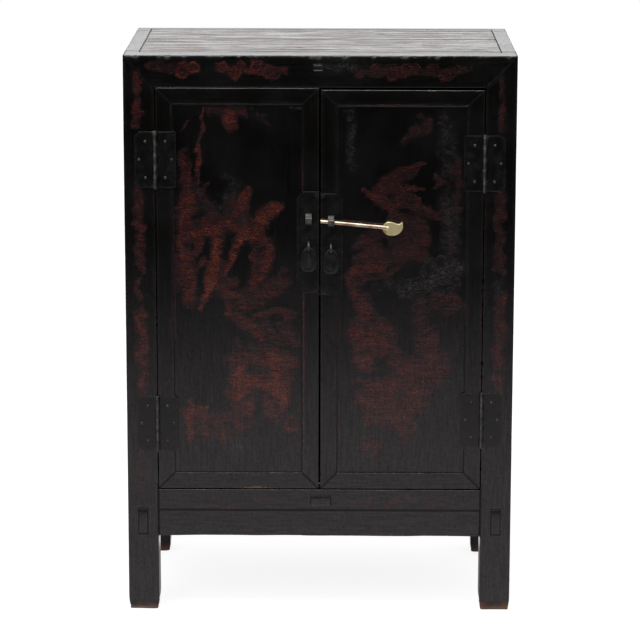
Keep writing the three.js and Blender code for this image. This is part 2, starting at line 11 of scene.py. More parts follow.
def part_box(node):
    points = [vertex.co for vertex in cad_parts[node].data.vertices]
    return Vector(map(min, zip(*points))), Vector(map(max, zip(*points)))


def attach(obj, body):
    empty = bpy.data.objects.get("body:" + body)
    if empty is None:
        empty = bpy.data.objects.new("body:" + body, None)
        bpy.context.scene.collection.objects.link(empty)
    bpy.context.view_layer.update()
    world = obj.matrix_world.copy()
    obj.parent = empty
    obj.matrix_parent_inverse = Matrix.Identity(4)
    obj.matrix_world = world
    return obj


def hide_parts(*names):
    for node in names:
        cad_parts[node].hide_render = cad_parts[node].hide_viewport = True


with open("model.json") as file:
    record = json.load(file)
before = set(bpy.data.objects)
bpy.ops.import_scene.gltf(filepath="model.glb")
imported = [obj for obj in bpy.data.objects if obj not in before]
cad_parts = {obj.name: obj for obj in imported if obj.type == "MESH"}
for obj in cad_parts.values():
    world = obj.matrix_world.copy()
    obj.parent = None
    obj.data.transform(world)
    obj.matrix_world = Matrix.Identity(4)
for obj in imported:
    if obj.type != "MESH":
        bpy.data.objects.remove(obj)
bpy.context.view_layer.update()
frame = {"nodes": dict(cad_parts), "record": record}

MM = 0.001
X, Y, Z = 0, 1, 2
HANDS = ("left", "right")
bodies = frame["record"]["behaviour"]["bodies"]
body_of = {node: body for body, nodes in bodies.items() for node in nodes}


def node_box(node):
    low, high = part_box(node)
    return np.array(low), np.array(high)


# The plane of the posts' front, and the height of the top boards
FRONT = node_box("post_front_left")[0][Y]
TOP = node_box("top_plank_front")[1][Z]


def along(axis, across, length):
    """Three sizes: a length along one axis, and another size across it."""
    return tuple(length if i == axis else across for i in (X, Y, Z))


# Seeded noise and small curves
class Noise:
    """Smooth noise from 0 to 1, on a repeating lattice of seeded random numbers."""

    side = 32
    octave_shift = 0.37

    def __init__(self, seed):
        self.lattice = np.random.default_rng(seed).random((self.side,) * 3)

    def __call__(self, points, size):
        place = points / np.asarray(size)
        cell = np.floor(place).astype(int)
        share = place - cell
        share = share * share * (3 - 2 * share)
        total = np.zeros(len(points))
        for corner in product((0, 1), repeat=3):
            weight = np.where(np.array(corner), share, 1 - share).prod(1)
            index = (cell + corner) % self.side
            total += weight * self.lattice[index[:, 0], index[:, 1], index[:, 2]]
        return total

    def fractal(self, points, size, octaves=3):
        total, weight, sum_of_weights = 0, 1, 0
        for octave in range(octaves):
            total = total + weight * self(points + self.octave_shift * octave, np.asarray(size) / 2**octave)
            sum_of_weights += weight
            weight /= 2
        return total / sum_of_weights


def smooth_step(low, high, value):
    share = np.clip((value - low) / (high - low), 0, 1)
    return share * share * (3 - 2 * share)


# Meshes
def surface_lines(low, high, step, close):
    """Places of the mesh lines along one axis: even steps, and close ones where the arrises are rounded."""
    farthest = 0.2 * (high - low)
    close = [c for c in close if c < farthest] or [farthest]
    count = max(1, round((high - low - 2 * close[-1]) / step))
    middle = np.linspace(low + close[-1], high - close[-1], count + 1)
    start = [low] + [low + c for c in close[:-1]]
    return np.concatenate([start, middle, [low + high - v for v in reversed(start)]])


def box_shell(lines, open_back=False):
    """Points and quads of a box's surface over three lists of lines."""
    sizes = [len(line) for line in lines]
    surface = np.zeros(sizes, bool)
    for axis in (X, Y, Z):
        for end in (0, -1):
            surface[tuple(end if i == axis else slice(None) for i in (X, Y, Z))] = True
    ids = np.full(sizes, -1)
    ids[surface] = np.arange(surface.sum())
    grid = np.meshgrid(*lines, indexing="ij")
    points = np.stack([g[surface] for g in grid], 1)
    quads = []
    for axis, end in product((X, Y, Z), (0, -1)):
        sheet = ids.take(end, axis)
        quad = [sheet[:-1, :-1], sheet[1:, :-1], sheet[1:, 1:], sheet[:-1, 1:]]
        quad = np.stack([q.ravel() for q in quad], 1)
        outward = (end == -1) != (axis == Y)
        if open_back and axis == Y and end == -1:
            continue
        quads.append(quad if outward else quad[:, ::-1])
    return points, np.concatenate(quads)


def rounded(points, low, high, radius):
    """Points of a box's surface with its arrises rounded, and the outward normal at each."""
    inset = radius[:, None]
    core = np.clip(points, low + inset, high - inset)
    away = points - core
    away /= np.linalg.norm(away, axis=1)[:, None]
    return core + away * inset, away


def mesh_of(points, faces):
    mesh = bpy.data.meshes.new("mesh")
    mesh.vertices.add(len(points))
    mesh.vertices.foreach_set("co", np.asarray(points, np.float32).ravel())
    faces = np.asarray(faces)
    mesh.loops.add(faces.size)
    mesh.loops.foreach_set("vertex_index", faces.ravel().astype(np.int32))
    mesh.polygons.add(len(faces))
    sides = faces.shape[1]
    mesh.polygons.foreach_set("loop_start", np.arange(0, faces.size, sides, dtype=np.int32))
    mesh.update(calc_edges=True)
    mesh.validate()
    return mesh


def object_of(name, mesh):
    made = bpy.data.objects.new(name, mesh)
    bpy.context.scene.collection.objects.link(made)
    return made


def evaluated(made):
    """The plain mesh of an object with its modifiers; the object itself is removed."""
    depsgraph = bpy.context.evaluated_depsgraph_get()
    mesh = bpy.data.meshes.new_from_object(made.evaluated_get(depsgraph))
    bpy.data.objects.remove(made)
    return mesh


SAME_POINT = 0.002 * MM
FLAT = math.radians(2)
ARRIS_ANGLE = math.radians(35)


def clean_copy(node, bevel=0.0, segments=2):
    """A copy of a node's mesh with its triangles merged into flat faces and its arrises eased."""
    mesh = frame["nodes"][node].data.copy()
    mesh.materials.clear()
    work = bmesh.new()
    work.from_mesh(mesh)
    bmesh.ops.remove_doubles(work, verts=work.verts, dist=SAME_POINT)
    bmesh.ops.dissolve_limit(work, angle_limit=FLAT, verts=work.verts, edges=work.edges)
    work.to_mesh(mesh)
    work.free()
    if not bevel:
        return mesh
    made = object_of("eased", mesh)
    ease = made.modifiers.new("ease", "BEVEL")
    ease.width, ease.segments = bevel, segments
    ease.limit_method, ease.angle_limit = "ANGLE", ARRIS_ANGLE
    ease.use_clamp_overlap = True
    return evaluated(made)


def combined(base, other, operation):
    """Two closed meshes joined, cut or intersected."""
    made, tool = object_of("base", base), object_of("tool", other)
    step = made.modifiers.new("combine", "BOOLEAN")
    step.operation, step.object, step.solver = operation, tool, "MANIFOLD"
    mesh = evaluated(made)
    bpy.data.objects.remove(tool)
    mesh.materials.clear()
    return mesh


def block_mesh(low, high):
    points, quads = box_shell([np.array([low[i], high[i]]) for i in (X, Y, Z)])
    return mesh_of(points, quads)


def points_of(mesh):
    points = np.zeros(len(mesh.vertices) * 3, np.float32)
    mesh.vertices.foreach_get("co", points)
    return points.reshape(-1, 3).astype(float)


def set_attribute(mesh, name, values):
    made = mesh.attributes.new(name, "FLOAT", "POINT")
    made.data.foreach_set("value", values.astype(np.float32))


def finish_piece(craft, mesh, node, slot, *materials, sharp_angle=38):
    """A finished piece, named for its craft, that stands for a CAD node and rides on its body."""
    for material in materials:
        mesh.materials.append(material)
    mesh.shade_smooth()
    mesh.set_sharp_from_angle(angle=math.radians(sharp_angle))
    piece = object_of(f"{craft}_{node}", mesh)
    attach(piece, body_of[node])
    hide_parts(node)


# Old painting on the front, measured in millimetres from the cabinet's middle and from the floor.
# Each stroke is a run of (x, z, radius) points with its strength and its warmth, from dull maroon to orange.
LEFT_DOOR_PAINTING = [
    ([(-172, 984, 20), (-168, 968, 17)], 0.95, 0.62),
    ([(-190, 990, 12), (-212, 994, 7)], 0.6, 0.2),
    ([(-146, 992, 12), (-140, 982, 6)], 0.6, 0.2),
    ([(-225, 998, 3), (-225, 975, 4.5), (-221, 958, 6), (-229, 944, 4.5), (-234, 925, 5),
      (-236, 906, 7)], 0.95, 0.55),
    ([(-236, 906, 7), (-231, 888, 8), (-233, 872, 5), (-231, 852, 3)], 0.95, 0.6),
    ([(-262, 958, 4), (-257, 966, 3), (-252, 974, 3)], 0.7, 0.15),
    ([(-122, 990, 3), (-112, 986, 4)], 0.5, 0.2),
    ([(-106, 972, 4), (-97, 965, 3)], 0.5, 0.2),
    ([(-258, 908, 7), (-262, 890, 12), (-256, 870, 17), (-254, 852, 19)], 0.75, 0.35),
    ([(-252, 828, 21), (-254, 806, 25), (-258, 784, 17), (-266, 766, 10)], 0.9, 0.55),
    ([(-232, 834, 8), (-212, 852, 4)], 0.6, 0.25),
    ([(-214, 812, 12), (-206, 800, 10)], 0.55, 0.2),
    ([(-262, 752, 9), (-236, 752, 15), (-208, 764, 22), (-180, 772, 17), (-160, 764, 12)], 0.95, 0.62),
    ([(-270, 738, 9), (-262, 720, 17), (-258, 700, 20), (-254, 676, 22), (-250, 652, 23),
      (-254, 628, 17)], 0.92, 0.55),
    ([(-232, 738, 12), (-240, 716, 10)], 0.9, 0.5),
    ([(-222, 700, 12), (-230, 690, 8)], 0.85, 0.45),
    ([(-196, 742, 12), (-200, 712, 13), (-206, 676, 15), (-214, 640, 12), (-224, 620, 9),
      (-230, 604, 4)], 0.98, 0.85),
    ([(-186, 700, 8), (-190, 672, 12)], 0.8, 0.4),
    ([(-142, 762, 15), (-158, 736, 14), (-168, 712, 12), (-176, 692, 8), (-184, 676, 4)], 0.95, 0.72),
    ([(-137, 842, 9), (-146, 822, 19), (-152, 806, 21), (-158, 796, 14)], 0.92, 0.6),
    ([(-170, 820, 10), (-174, 806, 8)], 0.6, 0.25),
    ([(-76, 812, 10), (-90, 806, 17), (-106, 788, 22), (-118, 770, 18), (-124, 752, 15),
      (-140, 748, 10)], 0.98, 0.72),
    ([(-186, 786, 8), (-160, 786, 8), (-146, 780, 8)], 0.6, 0.3),
    ([(-112, 748, 10), (-98, 734, 14), (-96, 714, 14), (-104, 694, 14), (-112, 674, 14),
      (-124, 656, 13)], 0.92, 0.5),
    ([(-126, 722, 4), (-130, 714, 5), (-127, 704, 5), (-118, 700, 5)], 0.8, 0.4),
    ([(-194, 652, 13), (-176, 642, 16), (-160, 634, 17), (-148, 616, 19)], 0.9, 0.5),
    ([(-164, 660, 12), (-176, 668, 6)], 0.7, 0.3),
    ([(-182, 622, 9), (-176, 606, 11)], 0.85, 0.35),
    ([(-132, 640, 15), (-112, 636, 18), (-90, 640, 17), (-74, 650, 14)], 0.85, 0.35),
    ([(-78, 672, 7), (-70, 684, 8), (-64, 680, 5)], 0.6, 0.15),
    ([(-176, 602, 9), (-160, 586, 12), (-140, 576, 15), (-122, 562, 14), (-110, 546, 11)], 0.9, 0.5),
    ([(-134, 612, 12), (-116, 616, 10)], 0.8, 0.35),
    ([(-122, 594, 7), (-98, 600, 8), (-74, 602, 11), (-50, 596, 11)], 0.8, 0.4),
    ([(-76, 578, 14), (-62, 566, 17), (-58, 548, 14), (-46, 540, 9)], 0.85, 0.3),
    ([(-104, 574, 10), (-96, 556, 10), (-80, 546, 17)], 0.7, 0.25),
    ([(-160, 546, 7), (-156, 522, 12), (-166, 506, 9), (-150, 506, 14), (-132, 506, 12)], 0.75, 0.1),
    ([(-110, 526, 14), (-112, 500, 13), (-104, 478, 17), (-112, 452, 14)], 0.85, 0.3),
    ([(-92, 514, 12), (-78, 504, 19), (-62, 504, 17), (-46, 506, 9)], 0.95, 0.68),
    ([(-88, 486, 14), (-66, 484, 17), (-56, 468, 12)], 0.9, 0.45),
    ([(-164, 474, 10), (-160, 456, 17), (-148, 462, 21), (-142, 446, 19), (-158, 434, 12)], 1.0, 0.95),
    ([(-128, 440, 14), (-128, 418, 14), (-150, 412, 14), (-166, 412, 9)], 0.8, 0.3),
    ([(-84, 446, 14), (-76, 440, 18), (-72, 424, 14), (-72, 408, 8)], 1.0, 0.9),
    ([(-100, 432, 12), (-96, 414, 12)], 0.8, 0.3),
    ([(-252, 424, 6), (-250, 402, 11), (-252, 380, 12), (-251, 358, 8), (-250, 342, 4)], 0.98, 0.78),
    ([(-234, 406, 14), (-228, 392, 13), (-222, 412, 7)], 0.95, 0.72),
    ([(-236, 374, 12), (-226, 364, 12), (-222, 350, 7)], 0.85, 0.4),
    ([(-212, 388, 9), (-206, 380, 9)], 0.85, 0.5),
    ([(-196, 390, 7), (-192, 368, 9), (-190, 350, 11), (-188, 332, 7)], 0.85, 0.62),
    ([(-186, 398, 8), (-170, 392, 9), (-152, 394, 11), (-134, 398, 11)], 0.75, 0.25),
    ([(-156, 380, 12), (-152, 366, 11)], 0.95, 0.75),
    ([(-56, 392, 5), (-45, 386, 6), (-46, 370, 6), (-58, 364, 7), (-67, 374, 6),
      (-62, 388, 6)], 0.85, 0.6),
    ([(-57, 378, 8)], 0.7, 0.5),
]
RIGHT_DOOR_PAINTING = [
    ([(206, 976, 7), (204, 964, 13), (190, 952, 11), (176, 956, 7)], 0.7, 0.05),
    ([(160, 942, 6), (152, 934, 4)], 0.6, 0.05),
    ([(184, 990, 5), (192, 984, 5)], 0.5, 0.05),
    ([(198, 894, 4), (184, 888, 7), (168, 882, 6), (150, 876, 10), (136, 868, 13),
      (122, 856, 13)], 0.9, 0.3),
    ([(112, 850, 7), (128, 842, 13), (146, 850, 16), (150, 832, 19)], 0.85, 0.3),
    ([(84, 842, 5), (92, 832, 9), (112, 830, 14), (124, 818, 15), (136, 808, 12)], 0.92, 0.42),
    ([(162, 842, 9), (182, 842, 6), (199, 842, 3)], 0.85, 0.3),
    ([(150, 812, 12), (166, 826, 10), (186, 818, 12), (204, 808, 9), (222, 792, 8),
      (236, 782, 4)], 0.8, 0.2),
    ([(142, 796, 9), (148, 784, 16), (170, 780, 20), (188, 766, 22), (196, 744, 23)], 0.85, 0.2),
    ([(136, 764, 12), (122, 756, 10), (104, 752, 16), (82, 744, 15), (70, 732, 10)], 0.85, 0.25),
    ([(166, 752, 14), (160, 736, 16), (150, 716, 19), (176, 722, 21), (200, 712, 17)], 0.82, 0.2),
    ([(112, 728, 16), (94, 716, 21), (78, 706, 15), (110, 706, 18), (132, 700, 13)], 0.85, 0.25),
    ([(118, 686, 13), (94, 690, 17), (72, 684, 14), (60, 672, 12), (62, 654, 14),
      (68, 638, 12)], 0.9, 0.42),
    ([(84, 664, 8), (104, 672, 9), (130, 674, 7)], 0.6, 0.3),
    ([(150, 690, 8), (140, 680, 8)], 0.6, 0.2),
    ([(78, 622, 16), (90, 604, 14), (92, 584, 15), (78, 570, 17), (56, 560, 9)], 0.9, 0.4),
    ([(104, 572, 14), (122, 574, 12), (134, 568, 7)], 0.95, 0.6),
    ([(70, 548, 17), (74, 528, 17), (92, 540, 17), (108, 550, 12)], 0.95, 0.5),
    ([(126, 552, 9), (138, 538, 12), (150, 524, 10)], 0.85, 0.35),
    ([(74, 508, 14), (86, 494, 17), (100, 492, 12)], 0.92, 0.5),
    ([(200, 626, 13), (192, 604, 15), (198, 586, 14)], 0.7, 0.2),
    ([(228, 632, 12), (252, 628, 15), (266, 612, 11), (244, 606, 12)], 0.8, 0.25),
    ([(196, 560, 12), (206, 544, 16), (222, 546, 14), (208, 526, 20), (192, 528, 14)], 0.85, 0.3),
    ([(176, 506, 15), (196, 500, 20), (222, 506, 17), (240, 492, 12), (244, 476, 10)], 0.88, 0.35),
    ([(150, 500, 9), (158, 486, 14), (180, 474, 20), (206, 472, 19), (228, 464, 11)], 0.88, 0.32),
    ([(66, 462, 6), (78, 468, 8), (90, 458, 9)], 0.85, 0.45),
    ([(112, 448, 13), (130, 462, 13), (148, 468, 14), (152, 446, 19)], 0.92, 0.42),
    ([(176, 446, 17), (194, 440, 14), (206, 430, 9)], 0.8, 0.25),
    ([(94, 434, 11), (108, 420, 18), (130, 416, 19), (152, 418, 17), (172, 420, 12)], 0.95, 0.45),
    ([(60, 418, 6), (72, 420, 7), (84, 412, 8)], 0.9, 0.45),
    ([(88, 398, 9), (90, 382, 9)], 0.85, 0.35),
    ([(134, 394, 12), (152, 388, 15), (172, 392, 14), (182, 374, 11), (176, 362, 9)], 0.85, 0.35),
    ([(158, 372, 10), (164, 358, 7)], 0.8, 0.3),
    ([(82, 334, 9), (92, 326, 11), (108, 338, 14), (120, 330, 9), (104, 316, 8)], 0.88, 0.45),
    ([(222, 872, 6), (232, 858, 9), (224, 846, 5)], 0.5, 0.2),
    ([(262, 896, 5), (266, 868, 6), (262, 838, 6), (268, 808, 6)], 0.6, 0.12),
    ([(240, 892, 4), (252, 876, 4)], 0.5, 0.15),
]
POST_PAINTING = [
    ([(-350, 1064, 9), (-346, 1046, 10), (-348, 1028, 8)], 0.6, 0.47),
    ([(-346, 1016, 8), (-352, 1000, 10), (-346, 984, 9), (-352, 968, 7)], 0.7, 0.37),
    ([(-342, 990, 5), (-336, 996, 5)], 0.5, 0.27),
    ([(-348, 846, 7), (-342, 824, 9), (-352, 806, 9), (-344, 790, 9)], 0.8, 0.37),
    ([(-350, 776, 10), (-338, 768, 9), (-350, 752, 10), (-344, 738, 8)], 0.8, 0.4),
    ([(-346, 722, 8), (-342, 706, 10), (-348, 690, 9), (-340, 680, 7)], 0.75, 0.4),
    ([(-348, 664, 8), (-352, 648, 7), (-346, 628, 7)], 0.6, 0.37),
    ([(-344, 606, 9), (-338, 592, 10), (-350, 586, 9), (-348, 566, 12), (-342, 548, 12),
      (-338, 528, 13)], 0.92, 0.67),
    ([(-346, 508, 12), (-342, 498, 8), (-352, 520, 8)], 0.9, 0.62),
    ([(-342, 478, 8), (-346, 460, 10), (-350, 444, 8), (-338, 440, 6)], 0.9, 0.62),
    ([(-356, 322, 7), (-352, 306, 10), (-346, 294, 8), (-342, 276, 9), (-346, 256, 7)], 0.55, 0.32),
    ([(346, 1050, 8), (344, 1036, 6)], 0.45, 0.37),
    ([(346, 1004, 8), (344, 990, 9), (350, 978, 7), (346, 958, 6)], 0.55, 0.32),
    ([(346, 838, 9), (352, 820, 8), (344, 804, 8), (352, 790, 8)], 0.75, 0.27),
    ([(340, 790, 6), (334, 772, 7), (344, 758, 8), (350, 744, 8)], 0.75, 0.3),
    ([(346, 728, 9), (352, 710, 9), (344, 694, 9), (350, 682, 7)], 0.7, 0.24),
    ([(358, 640, 6), (354, 622, 8)], 0.7, 0.42),
    ([(340, 612, 8), (350, 600, 11), (344, 584, 10), (354, 572, 10), (346, 556, 11)], 0.85, 0.42),
    ([(348, 540, 12), (344, 522, 12), (350, 506, 10), (348, 494, 7)], 0.85, 0.47),
    ([(340, 470, 9), (350, 466, 8), (348, 452, 7)], 0.8, 0.47),
    ([(350, 322, 7), (356, 312, 6), (350, 300, 5)], 0.4, 0.32),
]
# Dim ground of the same paintings, soft and wide
LEFT_DOOR_GROUND = [
    ([(-214, 996, 14), (-176, 990, 22), (-150, 990, 14)], 0.4, 0.1),
    ([(-262, 912, 16), (-258, 880, 24), (-250, 850, 26)], 0.5, 0.15),
    ([(-226, 830, 18), (-214, 812, 22)], 0.4, 0.05),
    ([(-172, 826, 18), (-176, 806, 22)], 0.4, 0.05),
    ([(-268, 742, 22), (-236, 768, 26), (-200, 774, 30), (-160, 772, 28), (-118, 770, 24)], 0.66, 0.36),
    ([(-264, 724, 24), (-256, 660, 36), (-250, 624, 26)], 0.74, 0.42),
    ([(-200, 742, 22), (-204, 690, 26), (-214, 640, 22)], 0.6, 0.3),
    ([(-122, 744, 24), (-106, 700, 28), (-122, 656, 30)], 0.62, 0.2),
    ([(-196, 650, 24), (-160, 626, 34), (-104, 640, 34), (-74, 656, 28)], 0.66, 0.2),
    ([(-172, 600, 20), (-136, 576, 26), (-106, 552, 24)], 0.55, 0.15),
    ([(-112, 596, 16), (-74, 584, 30), (-60, 556, 28)], 0.58, 0.15),
    ([(-168, 506, 28), (-124, 510, 38), (-78, 506, 44), (-56, 500, 30)], 0.8, 0.5),
    ([(-160, 470, 34), (-160, 440, 34), (-124, 462, 34), (-78, 452, 42)], 0.95, 0.72),
    ([(-152, 410, 30), (-104, 424, 34), (-84, 400, 30)], 0.9, 0.66),
    ([(-262, 400, 20), (-240, 392, 30), (-206, 384, 24), (-170, 392, 26)], 0.66, 0.4),
    ([(-226, 356, 24), (-186, 354, 24), (-154, 376, 28), (-128, 396, 24)], 0.56, 0.2),
    ([(-58, 384, 26)], 0.5, 0.2),
    ([(-154, 490, 18), (-153, 454, 22)], 0.95, 0.95),
    ([(-96, 516, 18), (-86, 484, 24), (-84, 450, 22)], 0.95, 0.95),
]
RIGHT_DOOR_GROUND = [
    ([(206, 972, 18), (186, 952, 20), (160, 936, 16)], 0.42, 0.0),
    ([(176, 876, 18), (140, 858, 26), (112, 838, 24)], 0.5, 0.1),
    ([(170, 812, 22), (204, 798, 20), (232, 786, 14)], 0.45, 0.05),
    ([(150, 784, 30), (184, 756, 38), (116, 750, 26), (78, 742, 18)], 0.6, 0.1),
    ([(186, 722, 34), (148, 716, 36), (96, 712, 32)], 0.6, 0.12),
    ([(112, 690, 26), (76, 676, 28), (68, 646, 20)], 0.55, 0.15),
    ([(240, 820, 20), (252, 770, 24), (250, 726, 22)], 0.3, 0.0),
    ([(262, 900, 14), (266, 850, 14), (264, 806, 12)], 0.4, 0.0),
    ([(82, 624, 24), (90, 590, 34), (76, 556, 38), (124, 572, 28)], 0.88, 0.46),
    ([(88, 540, 38), (128, 546, 36), (84, 502, 36)], 0.95, 0.5),
    ([(200, 620, 28), (196, 584, 28)], 0.56, 0.15),
    ([(222, 622, 26), (262, 616, 24)], 0.66, 0.15),
    ([(206, 556, 34), (212, 520, 44), (232, 490, 36)], 0.95, 0.46),
    ([(150, 500, 32), (184, 480, 44), (222, 470, 36)], 0.95, 0.46),
    ([(106, 448, 34), (150, 450, 44), (196, 446, 40)], 1.0, 0.54),
    ([(76, 430, 22), (104, 416, 40), (150, 412, 44), (196, 420, 34)], 1.0, 0.54),
    ([(100, 384, 26), (136, 388, 32), (160, 376, 34), (166, 356, 24)], 0.9, 0.46),
    ([(96, 346, 26), (108, 332, 28)], 0.56, 0.22),
]
POST_GROUND = [
    ([(-348, 1070, 14), (-348, 1034, 14)], 0.35, 0.05),
    ([(-348, 1012, 14), (-348, 968, 14)], 0.42, 0.05),
    ([(-347, 848, 14), (-347, 780, 17), (-346, 690, 16)], 0.5, 0.05),
    ([(-346, 600, 18), (-344, 500, 21)], 0.66, 0.25),
    ([(-345, 480, 18), (-346, 436, 17)], 0.62, 0.2),
    ([(-352, 330, 16), (-344, 248, 16)], 0.52, 0.15),
    ([(346, 1056, 13), (346, 960, 14)], 0.35, 0.0),
    ([(346, 842, 16), (344, 690, 16)], 0.52, 0.05),
    ([(348, 626, 17), (348, 560, 20), (347, 494, 18)], 0.66, 0.2),
    ([(346, 476, 18), (346, 440, 16)], 0.6, 0.2),
]
# Places inside the masses where the painting has gone
PAINTING_GAPS = [
    [(-219, 730, 9), (-220, 716, 9), (-214, 706, 5)],
    [(-120, 446, 9), (-120, 420, 13), (-116, 396, 13)],
    [(-231, 672, 8), (-228, 656, 8), (-224, 640, 6)],
    [(-148, 728, 7), (-156, 706, 7), (-166, 684, 6)],
    [(-176, 742, 6), (-180, 724, 5)],
    [(-150, 596, 6), (-136, 598, 6)],
    [(-92, 588, 9), (-80, 588, 9)],
    [(156, 804, 5), (170, 800, 6)],
    [(126, 746, 6), (128, 734, 5)],
    [(142, 768, 6), (150, 764, 5)],
    [(112, 506, 9), (126, 490, 11)],
    [(160, 536, 8), (168, 548, 8)],
    [(108, 380, 9), (112, 366, 9)],
]
# Dim painting behind the small flowers of the top rail
RAIL_GROUND = [
    ([(-330, 1078, 12), (-282, 1074, 13), (-236, 1072, 16)], 0.4, 0.12),
    ([(-196, 1075, 13), (-160, 1070, 16), (-112, 1074, 17), (-66, 1070, 12)], 0.46, 0.2),
    ([(70, 1066, 12), (110, 1070, 15), (176, 1070, 15), (240, 1068, 15), (284, 1074, 10)], 0.36, 0.08),
]
# Small round flowers along the top rail: x, z, radius, strength, warmth
RAIL_FLOWERS = [
    (-302, 1078, 11, 0.6, 0.12), (-282, 1072, 9, 0.5, 0.12), (-262, 1067, 14, 0.8, 0.5),
    (-241, 1077, 13, 0.95, 0.7), (-186, 1077, 11, 0.85, 0.5), (-160, 1067, 13, 0.95, 0.6),
    (-150, 1081, 9, 0.85, 0.5), (-122, 1080, 13, 0.85, 0.45), (-98, 1070, 12, 0.8, 0.4),
    (-84, 1062, 9, 0.8, 0.5), (74, 1064, 9, 0.45, 0.15), (106, 1074, 13, 0.6, 0.2),
    (138, 1064, 14, 0.7, 0.35), (164, 1074, 12, 0.65, 0.3), (182, 1078, 8, 0.55, 0.2),
    (212, 1074, 12, 0.6, 0.2), (238, 1062, 14, 0.65, 0.3), (262, 1074, 10, 0.5, 0.15),
]
# Curls that trail between the flowers, as strokes
RAIL_TRAILS = [
    ([(-330, 1082, 5), (-312, 1086, 5), (-296, 1080, 6), (-286, 1066, 5)], 0.5, 0.12),
    ([(-268, 1082, 4), (-256, 1084, 5), (-246, 1066, 5), (-232, 1070, 5)], 0.85, 0.5),
    ([(-198, 1084, 3), (-182, 1086, 4), (-174, 1072, 4), (-172, 1062, 4), (-160, 1054, 4)], 0.85, 0.5),
    ([(-142, 1070, 4), (-132, 1066, 4), (-112, 1064, 5), (-104, 1056, 4), (-88, 1054, 4)], 0.85, 0.5),
    ([(-130, 1090, 3), (-114, 1088, 4), (-102, 1082, 4), (-84, 1074, 5), (-64, 1076, 5)], 0.6, 0.3),
    ([(86, 1068, 5), (96, 1062, 5), (118, 1062, 5), (126, 1074, 4)], 0.5, 0.2),
    ([(150, 1058, 4), (160, 1060, 5), (176, 1068, 5), (184, 1066, 4)], 0.55, 0.3),
    ([(222, 1080, 4), (226, 1064, 5), (246, 1052, 4), (254, 1062, 4), (276, 1078, 4)], 0.55, 0.25),
]
# What is left of the painting on the sill and the apron
SILL_PAINTING = [
    ([(-132, 238, 6), (-124, 226, 9), (-112, 228, 8), (-92, 220, 7)], 0.62, 0.3),
    ([(-240, 210, 5), (-210, 212, 5), (-180, 209, 5), (-160, 210, 4)], 0.72, 0.35),
    ([(62, 214, 7), (76, 218, 8), (88, 212, 7), (100, 228, 6)], 0.64, 0.3),
    ([(128, 214, 7), (140, 218, 9), (152, 228, 8), (160, 222, 7)], 0.7, 0.35),
    ([(170, 230, 6), (178, 224, 7), (192, 228, 6)], 0.68, 0.35),
    ([(210, 228, 6), (222, 222, 8), (216, 212, 6)], 0.6, 0.3),
    ([(246, 226, 6), (258, 222, 7)], 0.5, 0.25),
    ([(-170, 176, 6), (-140, 172, 8), (-112, 172, 6)], 0.3, 0.1),
    ([(-175, 158, 3), (-150, 157, 3), (-120, 159, 3)], 0.35, 0.1),
    ([(110, 158, 3), (130, 160, 3), (150, 158, 3)], 0.4, 0.3),
]
# Arrises worn down to warm wood beside the panels, as strokes
WORN_LINES = [
    ([(-280, 792, 1.6), (-280.5, 700, 1.8), (-279.5, 600, 2.4), (-279.5, 545, 2.2)], 0.9, 0.5),
    ([(-279, 488, 2), (-279, 442, 2)], 0.7, 0.25),
    ([(-32, 655, 2), (-31, 600, 2.6), (-31, 520, 2.8), (-31, 420, 2.6), (-31, 340, 2.2),
      (-31, 295, 1.6)], 1.0, 0.75),
    ([(-33.5, 898, 0.8), (-33, 862, 1.6), (-33.5, 842, 1.8)], 0.8, 0.5),
    ([(35, 636, 1.4), (36, 560, 1.8), (36, 470, 2), (36.5, 432, 1.8)], 0.8, 0.4),
    ([(36.5, 414, 2), (37, 380, 2.2), (38, 346, 1.8)], 0.9, 0.5),
    ([(34, 872, 1.5), (34, 838, 2)], 0.5, 0.1),
    ([(100, 1004, 1.8), (150, 1004, 2.2), (214, 1003, 1.8)], 0.8, 0.3),
    ([(281, 622, 1.6), (281.5, 600, 2.2), (282, 590, 1.6)], 0.95, 0.7),
]
# Arrises and joints rubbed grey: runs of points with their strength
RUBBED_LINES = [
    ([(-284, 1005, 1.4), (-240, 1005.5, 2), (-150, 1005, 2), (-70, 1005, 1.8), (-32, 1005, 1.6)], 0.6),
    ([(33, 1005, 1.4), (150, 1005.5, 1.8), (250, 1006, 2), (282, 1005, 1.6)], 0.6),
    ([(-56, 1000, 4), (-44, 998, 5), (-36, 998, 4)], 0.5),
    ([(-284, 1005, 1.6), (-283, 985, 1.2)], 0.6),
    ([(-308, 1030, 1), (-284, 1007, 1)], 0.5),
    ([(-8, 1030, 1.2), (-32, 1007, 1.2)], 0.7),
    ([(310, 1030, 1.4), (284, 1007, 1.6)], 0.7),
    ([(372, 1096, 1.6), (318, 1042, 1.6)], 0.6),
]
# Fields of small scrolls cut into the lacquer: two corners of a field, its rows, columns and strength
SCROLL_FIELDS = [
    ((196, 642), (272, 712), 5, 5, 0.75),
    ((150, 628), (196, 668), 3, 3, 0.4),
    ((232, 722), (272, 808), 6, 3, 0.45),
    ((236, 818), (262, 892), 5, 2, 0.35),
    ((222, 908), (262, 972), 4, 3, 0.3),
    ((48, 884), (66, 1000), 8, 1, 0.45),
    ((336, 630), (356, 662), 2, 1, 0.7),
    ((-354, 620), (-330, 640), 1, 2, 0.4),
    ((0, 1070), (70, 1084), 1, 5, 0.4),
    ((-268, 404), (-236, 424), 1, 2, 0.15),
    ((-182, 302), (-134, 356), 3, 3, 0.25),
]
